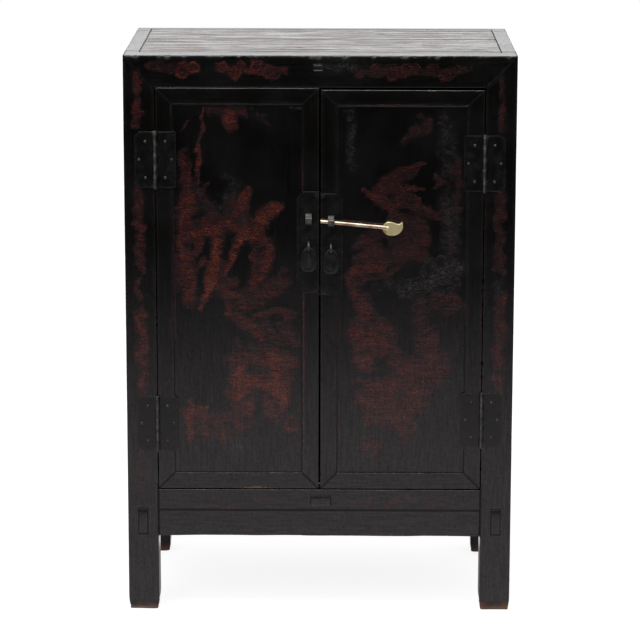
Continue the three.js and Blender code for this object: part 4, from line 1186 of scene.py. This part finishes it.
def metal(name, colour, spots, bright, roughness, metallic, wear, pits=0.5, beaten=0.45, gloss=0.5):
    """Old hand-worked metal: uneven tarnish, small pits, rubbed high places; on the hinge barrels that light
    colour is a painted highlight, and on the plate rims both wear and a painted highlight.
    """
    material, tree, shader, place = start_material(name)
    broad = speckle(tree, stretch(tree, place, (55, 55, 55)), 6, 0.65)
    small = speckle(tree, stretch(tree, place, (480, 480, 480)), 3, 0.6)
    dents = speckle(tree, stretch(tree, place, (130, 130, 130)), 2, 0.4)
    worn = worn_arrises(tree, place, wear)
    tone = blend_colours(tree, ramp(tree, broad, 0.38, 0.68), rgb(*colour), rgb(*spots))
    tone = blend_colours(tree, worn, tone, rgb(*bright))
    tree.links.new(tone, shader.inputs["Base Color"])
    shader.inputs["Metallic"].default_value = metallic
    shader.inputs["Specular IOR Level"].default_value = gloss
    tree.links.new(ramp(tree, broad, 0.3, 0.75, roughness, roughness + 0.1), shader.inputs["Roughness"])
    height = plus(tree, dents, times(tree, ramp(tree, small, 0.55, 0.75), -pits))
    bump(tree, shader, height, beaten, 0.3 * MM)
    return material


def plank_lacquer(name):
    """The top's thin black finish over open-grained boards: streaked, stained and cracked."""
    material, tree, shader, place = start_material(name)
    wood = grain_of(tree, place, X, (150, 5), (900, 22))
    worn = worn_arrises(tree, place, 0.6)
    crack = attribute(tree, "crack")
    stains = speckle(tree, stretch(tree, place, (11, 34, 34)), 6, 0.68)
    streaks = speckle(tree, stretch(tree, place, (5, 95, 95)), 5, 0.62, 0.3)
    thick_black, thin_brown = rgb(20, 17, 16), rgb(66, 49, 39)
    stain_brown, worn_brown, crack_black = rgb(118, 91, 73), rgb(104, 86, 72), rgb(5, 4, 4)
    colour = blend_colours(tree, ramp(tree, wood["Bands"], 0.35, 0.7), thick_black, thin_brown)
    colour = blend_colours(tree, ramp(tree, stains, 0.52, 0.72, 0.0, 0.75), colour, stain_brown)
    colour = blend_colours(tree, worn, colour, worn_brown)
    colour = blend_colours(tree, crack, colour, crack_black)
    tree.links.new(colour, shader.inputs["Base Color"])
    dull_streaks = times(tree, ramp(tree, streaks, 0.38, 0.62), 0.55)
    dull_stains = times(tree, ramp(tree, stains, 0.4, 0.64), 0.5)
    gloss = ramp(tree, plus(tree, dull_streaks, dull_stains), 0.0, 0.85, 0.88, 0.0)
    tree.links.new(times(tree, gloss, rest_of(tree, crack)), shader.inputs["Coat Weight"])
    shader.inputs["Coat Roughness"].default_value = 0.12
    shader.inputs["Specular IOR Level"].default_value = 0.3
    rough = plus(tree, ramp(tree, wood["Bands"], 0.25, 0.8, 0.16, 0.34), times(tree, crack, 0.4))
    tree.links.new(rough, shader.inputs["Roughness"])
    height = plus(tree, wood["Bands"], times(tree, wood["Pores"], -0.5))
    bump(tree, shader, maths(tree, "SUBTRACT", height, crack), 0.5, 0.35 * MM)
    return material


upright_lacquer = lacquer("upright_lacquer", Z)
level_lacquer = lacquer("level_lacquer", X)
panel_lacquer = lacquer("panel_lacquer", Z, brown=(8, 6, 6), wear=0.2)
side_lacquer = lacquer("side_lacquer", Y, painted=False)
side_panel_lacquer = lacquer("side_panel_lacquer", Z, painted=False)
top_lacquer = plank_lacquer("top_lacquer")
inner_level = bare_timber("inner_timber_level", X)
inner_deep = bare_timber("inner_timber_deep", Y)
inner_upright = bare_timber("inner_timber_upright", Z)
dark_iron = metal(
    "dark_iron", (6, 6, 6), (10, 9, 9), (46, 45, 43),
    roughness=0.2, metallic=0.0, wear=0.45, pits=0.4, beaten=0.25, gloss=0.43,
)
tab_iron = metal(
    "tab_iron", (6, 6, 6), (9, 8, 8), (24, 23, 22),
    roughness=0.26, metallic=0.0, wear=0.45, pits=0.4, beaten=0.25, gloss=0.36,
)
barrel_iron = metal(
    "barrel_iron", (12, 12, 12), (18, 17, 16), (120, 116, 110), roughness=0.26, metallic=0.3, wear=0.6
)
nail_iron = metal(
    "nail_iron", (66, 64, 61), (40, 39, 37), (138, 133, 126), roughness=0.36, metallic=0.7, wear=0.5
)
eye_iron = metal(
    "eye_iron", (34, 33, 32), (52, 50, 47), (118, 113, 106), roughness=0.36, metallic=0.6, wear=0.6
)
rod_brass = metal(
    "rod_brass", (176, 160, 140), (128, 106, 88), (226, 216, 200),
    roughness=0.24, metallic=1.0, wear=0.5, pits=0.3,
)
head_brass = metal(
    "head_brass", (214, 202, 158), (196, 178, 130), (236, 228, 196),
    roughness=0.36, metallic=0.85, wear=0.4, pits=0.3,
)


# Case
def wooden_piece(node, steps, arris, grain, slot, material, **options):
    """Replaces a wooden node by its worn shape; mesh steps and arris in millimetres, grain along an axis."""
    mesh = worn_wood(node, steps, arris, grain, **options)
    finish_piece("worn", dress(mesh, node), node, slot, material)


def worn_toes(points, normal):
    """The feet draw in a little where they have stood and been dragged on floors."""
    low = smooth_step(34 * MM, 0, points[:, Z])
    upright = 1 - np.abs(normal[:, Z])
    return low**2 * upright * MM * (1.2 + 4.4 * chip_noise.fractal(points, 30 * MM, 2))


def nicked_edge(points, _):
    """The top's front arris is dented and nicked all along."""
    near = np.exp(-np.hypot(points[:, Y] - FRONT, points[:, Z] - TOP) / (3.4 * MM))
    dents = smooth_step(0.46, 0.74, chip_noise.fractal(points, (16 * MM, 60 * MM, 60 * MM), 2))
    waver = chip_noise(points + 0.7, (60 * MM, 90 * MM, 90 * MM))
    return near * MM * (2.6 * dents + 1.2 * waver)


for hand in HANDS:
    for place, steps in (("front", (2, 4.5, 2.2)), ("back", (6, 6, 6))):
        wooden_piece(
            f"post_{place}_{hand}", steps, 1.7, Z, "lacquer", upright_lacquer,
            chips=1.6 * MM, uneven=0.5 * MM, feet=6.5 * MM, shape=worn_toes,
        )
    wooden_piece(f"top_end_rail_{hand}", (4, 5, 6), 1.8, Y, "lacquer", side_lacquer, chips=1.5 * MM)
    wooden_piece(f"side_panel_{hand}", (6, 5, 7), 0.6, Z, "lacquer", side_panel_lacquer, uneven=0.6 * MM)
    wooden_piece(f"back_panel_{hand}", (5, 5, 8), 0.6, Z, "bare_wood", inner_upright, uneven=0.6 * MM)
    wooden_piece(f"shelf_bearer_{hand}", (6, 8, 6), 0.8, Y, "bare_wood", inner_deep)

wooden_piece(
    "top_front_rail", (2.2, 3, 2), 2.2, X, "lacquer", level_lacquer,
    chips=3.4 * MM, uneven=0.5 * MM, shape=nicked_edge,
)
wooden_piece("top_back_rail", (6, 5, 5), 1.8, X, "lacquer", level_lacquer, chips=1.5 * MM)
wooden_piece("sill_rail", (2.2, 5, 2), 0.8, X, "lacquer", level_lacquer, chips=1.2 * MM, uneven=0.4 * MM)
wooden_piece("back_lower_rail", (7, 6, 6), 1.6, X, "lacquer", level_lacquer)
wooden_piece("back_stile", (5, 5, 8), 0.8, Z, "bare_wood", inner_upright)
for board, arris in (("floor_board_front", 0.8), ("floor_board_back", 0.8), ("shelf", 1.2)):
    wooden_piece(board, (8, 6, 5), arris, X, "bare_wood", inner_level, uneven=0.5 * MM)


def wavy_underside(points, _):
    """The apron's lower edge was cut by eye and dips a little: its points are moved up, and none inwards."""
    low = node_box("front_apron")[0][Z]
    near = smooth_step(26 * MM, 0, points[:, Z] - low)
    wave = 3.2 * MM * relief_noise.fractal(points * np.array([1, 0, 0]) + 0.3, 110 * MM, 2)
    points[:, Z] += near * wave
    return 0 * near


wooden_piece(
    "front_apron", (2.5, 5, 2.5), 1.4, X, "lacquer", level_lacquer,
    chips=1.5 * MM, uneven=0.4 * MM, shape=wavy_underside,
)


JOIN = (node_box("top_plank_front")[1][Y] + node_box("top_plank_back")[0][Y]) / 2
PLANK_END = node_box("top_plank_front")[1][X]
# Drying cracks along the boards, in millimetres: where each starts and ends, how far back, width and depth
TOP_CRACKS = [
    (-345, 40, 92, 1.4, 0.9), (-120, 250, 130, 1.2, 0.7), (60, 345, 196, 1.5, 1.0),
    (-345, -80, 214, 1.2, 0.8), (-300, 180, 168, 1.0, 0.5), (-345, 10, 322, 1.5, 0.9),
    (90, 345, 352, 1.3, 0.8), (-200, 345, 384, 1.2, 0.7), (150, 345, 74, 1.6, 1.1),
    (-60, 120, 300, 1.1, 0.6), (-345, 345, 62, 1.5, 0.8), (-240, -60, 232, 1.8, 0.9),
]
# Knots in the boards: how far along and back, and radius
TOP_KNOTS = [(-40, 118, 7), (210, 160, 9), (-230, 290, 8), (300, 90, 6), (120, 340, 7)]


def top_marks(points):
    """Depth of the drying cracks and knots in the top boards, and how dark the cracks and the joints are."""
    depth, dirt = np.zeros((2, len(points)))
    x, y = points[:, X] / MM, (points[:, Y] - FRONT) / MM
    for start, end, back, width, deep in TOP_CRACKS:
        course = np.stack([points[:, X], 0 * x + back, 0 * x], 1)
        drift = 5 * (relief_noise.fractal(course, 90 * MM, 2) - 0.5)
        taper = smooth_step(0, 30, x - start) * smooth_step(0, 30, end - x)
        near = taper * smooth_step(width + 0.8, 0, np.abs(y - back - drift))
        depth += deep * MM * near
        dirt = np.maximum(dirt, near)
    for kx, ky, radius in TOP_KNOTS:
        distance = np.hypot((x - kx) / 1.6, y - ky)
        hollow = smooth_step(radius, radius * 0.6, distance)
        hollow *= smooth_step(radius * 0.1, radius * 0.5, distance)
        depth += 0.5 * MM * hollow
        dirt = np.maximum(dirt, 0.6 * hollow)
    ragged = 2.4 * MM * chip_noise.fractal(points, 30 * MM, 2)
    to_joint = np.minimum(np.abs(points[:, Y] - JOIN), PLANK_END - np.abs(points[:, X]))
    dirt = np.maximum(dirt, smooth_step(1.6 * MM, 0.6 * MM, to_joint - ragged))
    on_top = points[:, Z] > TOP - 3 * MM
    return depth * on_top, dirt * on_top


for place in ("front", "back"):
    node = f"top_plank_{place}"
    mesh = worn_wood(
        node, (4.5, 1.7, 6), 0.9, X,
        uneven=0.7 * MM, furrow=0.35 * MM, shape=lambda points, _: top_marks(points)[0],
    )
    mesh = dress(mesh, node)
    set_attribute(mesh, "crack", top_marks(points_of(mesh))[1])
    finish_piece("worn", mesh, node, "top_lacquer", top_lacquer)

# Rails whose tenons run through the posts: the board up to its shoulder, and then the tenon
OVERLAP = 4 * MM
for hand in HANDS:
    node = f"lower_side_rail_{hand}"
    low, high = node_box(node)
    shoulder = node_box(f"post_front_{hand}")[1][Y]
    board = np.array([low[X], shoulder, low[Z]]), high
    tenon_end = block_mesh(low - OVERLAP, np.array([high[X], shoulder, high[Z]]) + OVERLAP)
    tenon = combined(clean_copy(node, 0.9 * MM, 3), tenon_end, "INTERSECT")
    mesh = combined(worn_wood(node, (5, 5, 5), 1.5, Y, box=board), tenon, "UNION")
    finish_piece("worn", dress(mesh, node, board), node, "lacquer", side_lacquer)

# Braces: bare timber, with lacquer on the tenon ends that show in the front
for node in ("top_brace", "bottom_brace"):
    mesh = dress(clean_copy(node, 0.35 * MM, 2), node)
    for face in mesh.polygons:
        face.material_index = 1 if face.center[Y] < FRONT + 2 * MM else 0
    finish_piece("worn", mesh, node, "bare_wood", inner_deep, level_lacquer)

# Doors
for hand in HANDS:
    for part, steps, arris, grain, material in [
        ("hinge_stile", (2, 5, 2.2), 1.3, Z, upright_lacquer),
        ("meeting_stile", (2, 5, 2.2), 1.3, Z, upright_lacquer),
        ("top_rail", (2.2, 5, 2), 1.3, X, level_lacquer),
        ("bottom_rail", (2.2, 5, 2), 0.8, X, level_lacquer),
    ]:
        node = f"{hand}_door_{part}"
        wooden_piece(node, steps, arris, grain, "lacquer", material, chips=1.4 * MM, uneven=0.35 * MM)
    wooden_piece(f"{hand}_door_batten", (6, 6, 5), 1.0, X, "bare_wood", inner_level)


def cracked_relief(points):
    """Lifted, cracked paint: low horizontal ridges where the painting is thick, and raised scroll lines."""
    paint, _, rubbed_and_highlight, film, _ = painting(points)
    ridges = smooth_step(0.35, 0.65, relief_noise.fractal(points, (22 * MM, 22 * MM, 4.5 * MM), 2))
    return 0.1 * MM * smooth_step(0.1, 0.7, paint + 0.5 * film) * ridges + 0.2 * MM * (1 - rubbed_and_highlight)


def panel_mesh(node):
    """A door panel: dense on the front, one flat face behind."""
    low, high = node_box(node)
    steps = (1.9 * MM, 9 * MM, 1.9 * MM)
    lines = [surface_lines(low[i] + SKIN, high[i] - SKIN, steps[i], CLOSE_LINES[:2]) for i in (X, Y, Z)]
    points, quads = box_shell(lines, open_back=True)
    on_front = points[:, Y] < low[Y] + 1 * MM
    uneven = 0.5 * MM * relief_noise.fractal(points, (70 * MM, 70 * MM, 240 * MM), 2)
    depth = uneven + cracked_relief(points)
    points[:, Y] += np.where(on_front, depth, 0)
    mesh = mesh_of(points, quads)
    work = bmesh.new()
    work.from_mesh(mesh)
    rim = [e for e in work.edges if e.is_boundary]
    bmesh.ops.contextual_create(work, geom=rim)
    bmesh.ops.recalc_face_normals(work, faces=work.faces)
    work.to_mesh(mesh)
    work.free()
    return dress(mesh, node)


for hand in HANDS:
    node = f"{hand}_door_panel"
    finish_piece("painted", panel_mesh(node), node, "panel_lacquer", panel_lacquer, sharp_angle=60)


# Iron fittings
PLATE_STEPS = (2.4 * MM, 1 * MM, 2.4 * MM)
PLATE_LINES = [0.15 * MM, 0.35 * MM, 0.7 * MM]
PLATE_ARRIS = 0.4 * MM


def hammered(node, low, high):
    """A forged plate: its node's outline with soft arrises and a slightly beaten face."""
    lines = [surface_lines(low[i] + SKIN, high[i] - SKIN, PLATE_STEPS[i], PLATE_LINES) for i in (X, Y, Z)]
    points, quads = box_shell(lines)
    points, normal = rounded(points, low + SKIN, high - SKIN, np.full(len(points), PLATE_ARRIS))
    front = normal[:, Y] < -0.9
    points[:, Y] += front * 0.28 * MM * relief_noise.fractal(points, 14 * MM, 2)
    return combined(mesh_of(points, quads), clean_copy(node), "INTERSECT")


def nail_tree():
    """Geometry nodes: a hand-made domed nail head on each point, none quite like the next."""
    tree = bpy.data.node_groups.new("hinge_nails", "GeometryNodeTree")
    face = tree.interface
    face.new_socket("Geometry", in_out="INPUT", socket_type="NodeSocketGeometry")
    sockets = {}
    for label, kind, value in [
        ("Radius", "NodeSocketFloat", 3.0 * MM),
        ("Height", "NodeSocketFloat", 1.3 * MM),
        ("Unevenness", "NodeSocketFloat", 0.12),
        ("Seed", "NodeSocketInt", 7),
        ("Finish", "NodeSocketMaterial", None),
    ]:
        socket = face.new_socket(label, in_out="INPUT", socket_type=kind)
        if value is not None:
            socket.default_value = value
        sockets[label] = socket.identifier
    face.new_socket("Geometry", in_out="OUTPUT", socket_type="NodeSocketGeometry")
    new, link = tree.nodes.new, tree.links.new
    given, out = new("NodeGroupInput"), new("NodeGroupOutput")
    dome = new("GeometryNodeMeshUVSphere")
    dome.inputs["Segments"].default_value = 16
    dome.inputs["Rings"].default_value = 10
    link(given.outputs["Radius"], dome.inputs["Radius"])
    flatness = new("ShaderNodeMath")
    flatness.operation = "DIVIDE"
    link(given.outputs["Height"], flatness.inputs[0])
    link(given.outputs["Radius"], flatness.inputs[1])
    squeeze = new("ShaderNodeCombineXYZ")
    squeeze.inputs["X"].default_value = squeeze.inputs["Z"].default_value = 1
    link(flatness.outputs[0], squeeze.inputs["Y"])
    shaped = new("GeometryNodeTransform")
    link(dome.outputs["Mesh"], shaped.inputs["Geometry"])
    link(squeeze.outputs[0], shaped.inputs["Scale"])
    shift = new("FunctionNodeRandomValue")
    shift.data_type = "FLOAT_VECTOR"
    spread = new("ShaderNodeMath")
    spread.operation = "SUBTRACT"
    spread.inputs[0].default_value = 1
    link(given.outputs["Unevenness"], spread.inputs[1])
    link(spread.outputs[0], shift.inputs["Min"])
    shift.inputs["Max"].default_value = (1, 1, 1)
    link(given.outputs["Seed"], shift.inputs["Seed"])
    turn = new("FunctionNodeRandomValue")
    turn.data_type = "FLOAT_VECTOR"
    lean, full_turn = 0.12, 6.28
    turn.inputs["Min"].default_value = (-lean, 0, -lean)
    turn.inputs["Max"].default_value = (lean, full_turn, lean)
    link(given.outputs["Seed"], turn.inputs["Seed"])
    spread_out = new("GeometryNodeInstanceOnPoints")
    link(given.outputs["Geometry"], spread_out.inputs["Points"])
    link(shaped.outputs["Geometry"], spread_out.inputs["Instance"])
    link(shift.outputs["Value"], spread_out.inputs["Scale"])
    link(turn.outputs["Value"], spread_out.inputs["Rotation"])
    real = new("GeometryNodeRealizeInstances")
    link(spread_out.outputs["Instances"], real.inputs["Geometry"])
    dressed = new("GeometryNodeSetMaterial")
    link(real.outputs["Geometry"], dressed.inputs["Geometry"])
    link(given.outputs["Finish"], dressed.inputs["Material"])
    link(dressed.outputs["Geometry"], out.inputs["Geometry"])
    return tree, sockets


NAIL_TREE, NAIL_SOCKETS = nail_tree()


def nails_mesh(places, seed):
    base = bpy.data.meshes.new("nail_places")
    base.from_pydata([tuple(p) for p in places], [], [])
    made = object_of("nails", base)
    step = made.modifiers.new("nails", "NODES")
    step.node_group = NAIL_TREE
    step[NAIL_SOCKETS["Seed"]] = seed
    step[NAIL_SOCKETS["Finish"]] = nail_iron
    return evaluated(made)


def joined(parts):
    """One mesh of several, each with its own material index."""
    work = bmesh.new()
    for index, part in enumerate(parts):
        start = len(work.faces)
        work.from_mesh(part)
        work.faces.ensure_lookup_table()
        for face in work.faces[start:]:
            face.material_index = index
    mesh = bpy.data.meshes.new("joined")
    work.to_mesh(mesh)
    work.free()
    return mesh


LEAF_FRONT = FRONT - 1.5 * MM
KNUCKLE_REACH = 4.8 * MM
# Nails of a leaf: how far out from the hinge's axis and how far up from its middle
NAIL_PLACES = ((19 * MM, 35 * MM), (31 * MM, 0), (19 * MM, -35 * MM))
LEVELS = ("upper", "lower")
for level, hand, (leaf, seed, chamfer) in product(LEVELS, HANDS, (("post", 3, 9 * MM), ("door", 8, 3 * MM))):
    node = f"{level}_{hand}_hinge_{leaf}_leaf"
    low, high = node_box(node)
    axis_x = sum(node_box(f"{level}_{hand}_hinge_pin"))[X] / 2
    middle = (low[Z] + high[Z]) / 2
    way = 1 if low[X] + high[X] > 2 * axis_x else -1
    far = high[X] if way > 0 else low[X]
    plate_low = np.array([min(axis_x, far), LEAF_FRONT, low[Z]])
    plate_high = np.array([max(axis_x, far), FRONT, high[Z]])
    plate = hammered(node, plate_low, plate_high)
    knuckle_low, knuckle_high = low - MM, high + MM
    knuckle_low[X], knuckle_high[X] = axis_x - KNUCKLE_REACH, axis_x + KNUCKLE_REACH
    knuckles = combined(clean_copy(node, 0.35 * MM, 2), block_mesh(knuckle_low, knuckle_high), "INTERSECT")
    places = [(axis_x + way * out, LEAF_FRONT, middle + rise) for out, rise in NAIL_PLACES]
    mesh = joined([plate, knuckles, nails_mesh(places, seed + int(middle / MM))])
    points = points_of(mesh)
    # Lighter plate rims: rubbed edges, and also a painted edge highlight
    rim = rim_closeness(points, plate_low, plate_high, chamfer)
    on_barrel = points[:, Y] < LEAF_FRONT - 1.2 * MM
    # Painted highlight: a narrow light stripe down the front of the barrel, a little left of its axis, laid
    # in as wear colour
    rubbed_and_highlight = np.exp(-np.abs(points[:, X] - axis_x + 0.9 * MM) / (0.8 * MM))
    set_attribute(mesh, "arris", np.where(on_barrel, 1.6 * rubbed_and_highlight, rim))
    finish_piece("forged", mesh, node, "iron", dark_iron, barrel_iron, nail_iron)


def eased_iron(node, bevel, material):
    """Replaces a small iron node by a copy with eased arrises."""
    mesh = clean_copy(node, bevel * MM, 3)
    set_attribute(mesh, "arris", edge_closeness(points_of(mesh), *node_box(node)))
    finish_piece("forged", mesh, node, "iron", material)


for level, hand in product(LEVELS, HANDS):
    eased_iron(f"{level}_{hand}_hinge_pin", 0.5, barrel_iron)

PULL_PARTS = (("lock_eye", 0.3, eye_iron), ("pull_loop", 0.2, eye_iron), ("pull_tab", 0.25, tab_iron))
for hand in HANDS:
    node = f"{hand}_lock_plate"
    mesh = hammered(node, *node_box(node))
    # Lighter plate rim: rubbed edges, and also a painted edge highlight
    set_attribute(mesh, "arris", rim_closeness(points_of(mesh), *node_box(node), 12 * MM))
    finish_piece("forged", mesh, node, "iron", dark_iron)
    for part, bevel, material in PULL_PARTS:
        eased_iron(f"{hand}_{part}", bevel, material)


def lock_pin_mesh():
    """The sliding pin: a folded rod, and a comma-shaped head with its edges rounded by handling."""
    low, high = node_box("lock_pin")
    head_length, overlap, reach = 40 * MM, 8 * MM, 5 * MM
    split = high[X] - head_length
    head_box = block_mesh(np.array([split, low[Y] - reach, low[Z] - reach]), high + reach)
    rod_box = block_mesh(low - reach, np.array([split + overlap, high[Y] + reach, high[Z] + reach]))
    head = object_of("head", combined(clean_copy("lock_pin"), head_box, "INTERSECT"))
    fine = head.modifiers.new("fine", "REMESH")
    fine.mode, fine.voxel_size = "VOXEL", 0.5 * MM
    soft = head.modifiers.new("soft", "SMOOTH")
    soft.factor, soft.iterations = 0.5, 9
    head = evaluated(head)
    rod = combined(clean_copy("lock_pin", 0.35 * MM, 2), rod_box, "INTERSECT")
    mesh = joined([rod, head])
    set_attribute(mesh, "arris", np.zeros(len(mesh.vertices)))
    return mesh


finish_piece("worked", lock_pin_mesh(), "lock_pin", "pale_brass", rod_brass, head_brass, sharp_angle=50)


# Floor, light and camera
def ray_kinds(tree):
    """1 for camera rays; and 1 for the rays that a finish mirrors or lets through."""
    rays = tree.nodes.new("ShaderNodeLightPath").outputs
    return rays["Is Camera Ray"], plus(tree, rays["Is Glossy Ray"], rays["Is Transmission Ray"], True)


def emission(tree, colour, strength):
    glow = tree.nodes.new("ShaderNodeEmission")
    glow.inputs["Color"].default_value = colour
    put(tree, glow.inputs["Strength"], strength)
    return glow.outputs[0]


def either(tree, share, first, second):
    """Two shaders mixed."""
    mixed = tree.nodes.new("ShaderNodeMixShader")
    for socket, given in zip(mixed.inputs, (share, first, second)):
        tree.links.new(given, socket)
    return mixed.outputs[0]


FLOOR_REACH = 9.0
PAPER_GREY = (0.32, 0.32, 0.32, 1)
PAPER_GLOW = 0.86
VEIL = (1.0, 0.93, 0.965, 1)


def pale_floor():
    """White paper that keeps the shadow; the lacquer mirrors its glow as a pale veil, with a painted shadow
    under the cabinet.
    """
    mesh = bpy.data.meshes.new("floor")
    ways = ((-1, -1), (1, -1), (1, 1), (-1, 1))
    corners = [(x * FLOOR_REACH, y * FLOOR_REACH, -0.2 * MM) for x, y in ways]
    mesh.from_pydata(corners, [], [(0, 1, 2, 3)])
    material = bpy.data.materials.new("pale_floor")
    material.use_nodes = True
    tree = material.node_tree
    tree.nodes.clear()
    by_camera, by_gloss = ray_kinds(tree)
    place = tree.nodes.new("ShaderNodeTexCoord").outputs["Object"]
    measure = tree.nodes.new("ShaderNodeVectorMath")
    measure.operation = "LENGTH"
    tree.links.new(place, measure.inputs[0])
    away = measure.outputs["Value"]
    parts = tree.nodes.new("ShaderNodeSeparateXYZ")
    tree.links.new(place, parts.inputs[0])
    veil = plus(tree, ramp(tree, away, 1.2, 3.7, 0.8, 0.0), ramp(tree, away, 0.0, 1.2, 0.12, 0.0))
    # Painted shadow: the floor's glow in the gloss is dimmed under the cabinet
    past_sides = ramp(tree, maths(tree, "ABSOLUTE", parts.outputs["X"]), 0.3, 0.42)
    past_faces = ramp(tree, maths(tree, "ABSOLUTE", parts.outputs["Y"]), 0.17, 0.28)
    painted_cabinet_shadow = ramp(tree, maths(tree, "MAXIMUM", past_sides, past_faces), 0.0, 1.0, 0.3, 1.0)
    paper = tree.nodes.new("ShaderNodeBsdfDiffuse")
    paper.inputs["Color"].default_value = PAPER_GREY
    with_glow = tree.nodes.new("ShaderNodeAddShader")
    tree.links.new(paper.outputs[0], with_glow.inputs[0])
    tree.links.new(emission(tree, (1, 1, 1, 1), PAPER_GLOW), with_glow.inputs[1])
    plain = either(tree, by_camera, paper.outputs[0], with_glow.outputs[0])
    final = either(tree, by_gloss, plain, emission(tree, VEIL, times(tree, veil, painted_cabinet_shadow)))
    out = tree.nodes.new("ShaderNodeOutputMaterial")
    tree.links.new(final, out.inputs["Surface"])
    mesh.materials.append(material)
    object_of("floor", mesh)


def studio_world():
    """White for the camera; in the finish's gloss a room whose walls are dark low down and pale above."""
    world = bpy.data.worlds.new("studio")
    bpy.context.scene.world = world
    world.use_nodes = True
    tree = world.node_tree
    tree.nodes.clear()
    by_camera, by_gloss = ray_kinds(tree)
    parts = tree.nodes.new("ShaderNodeSeparateXYZ")
    tree.links.new(tree.nodes.new("ShaderNodeTexCoord").outputs["Generated"], parts.inputs[0])
    room = ramp(tree, parts.outputs["Z"], 0.05, 0.15, 0.008, 1.35)
    strength = tree.nodes.new("ShaderNodeMix")
    put(tree, strength.inputs["Factor"], by_gloss)
    put(tree, strength.inputs["A"], maths(tree, "MAXIMUM", by_camera, 0.72))
    put(tree, strength.inputs["B"], room)
    light = tree.nodes.new("ShaderNodeBackground")
    light.inputs["Color"].default_value = (1, 1, 1, 1)
    tree.links.new(strength.outputs["Result"], light.inputs["Strength"])
    out = tree.nodes.new("ShaderNodeOutputWorld")
    tree.links.new(light.outputs[0], out.inputs["Surface"])


def soft_box(name, place, target, width, depth, power):
    """A large soft lamp turned to a place on the cabinet."""
    lamp = bpy.data.lights.new(name, "AREA")
    lamp.shape, lamp.size, lamp.size_y, lamp.energy = "RECTANGLE", width, depth, power
    made = bpy.data.objects.new(name, lamp)
    bpy.context.scene.collection.objects.link(made)
    made.location = place
    made.rotation_euler = (Vector(target) - Vector(place)).to_track_quat("-Z", "Y").to_euler()


def photo_camera():
    """A little right of the middle, looking down, with a slight turn and tilt as in the photograph."""
    pitch, turn, tilt = [math.radians(a) for a in (11.96, 0.36, 0.11)]
    data = bpy.data.cameras.new("camera")
    data.sensor_width = 36
    data.lens = 159.0
    data.shift_y = -0.05
    data.clip_end = 60
    camera = bpy.data.objects.new("camera", data)
    bpy.context.scene.collection.objects.link(camera)
    upright = Matrix.Rotation(math.pi / 2 - pitch, 3, "X") @ Matrix.Rotation(tilt, 3, "Z")
    camera.location = (0.034, FRONT - 5.327, 1.778)
    camera.rotation_euler = (Matrix.Rotation(turn, 3, "Z") @ upright).to_euler()
    bpy.context.scene.camera = camera


pale_floor()
studio_world()
soft_box("overhead_soft_box", (-0.3, -0.9, 3.0), (0, 0, 0.7), 1.6, 1.2, 55)
soft_box("front_soft_box", (-2.2, -3.0, 3.4), (0, 0, 0.5), 1.8, 1.8, 30)
photo_camera()
bpy.context.scene.view_settings.view_transform = "Standard"
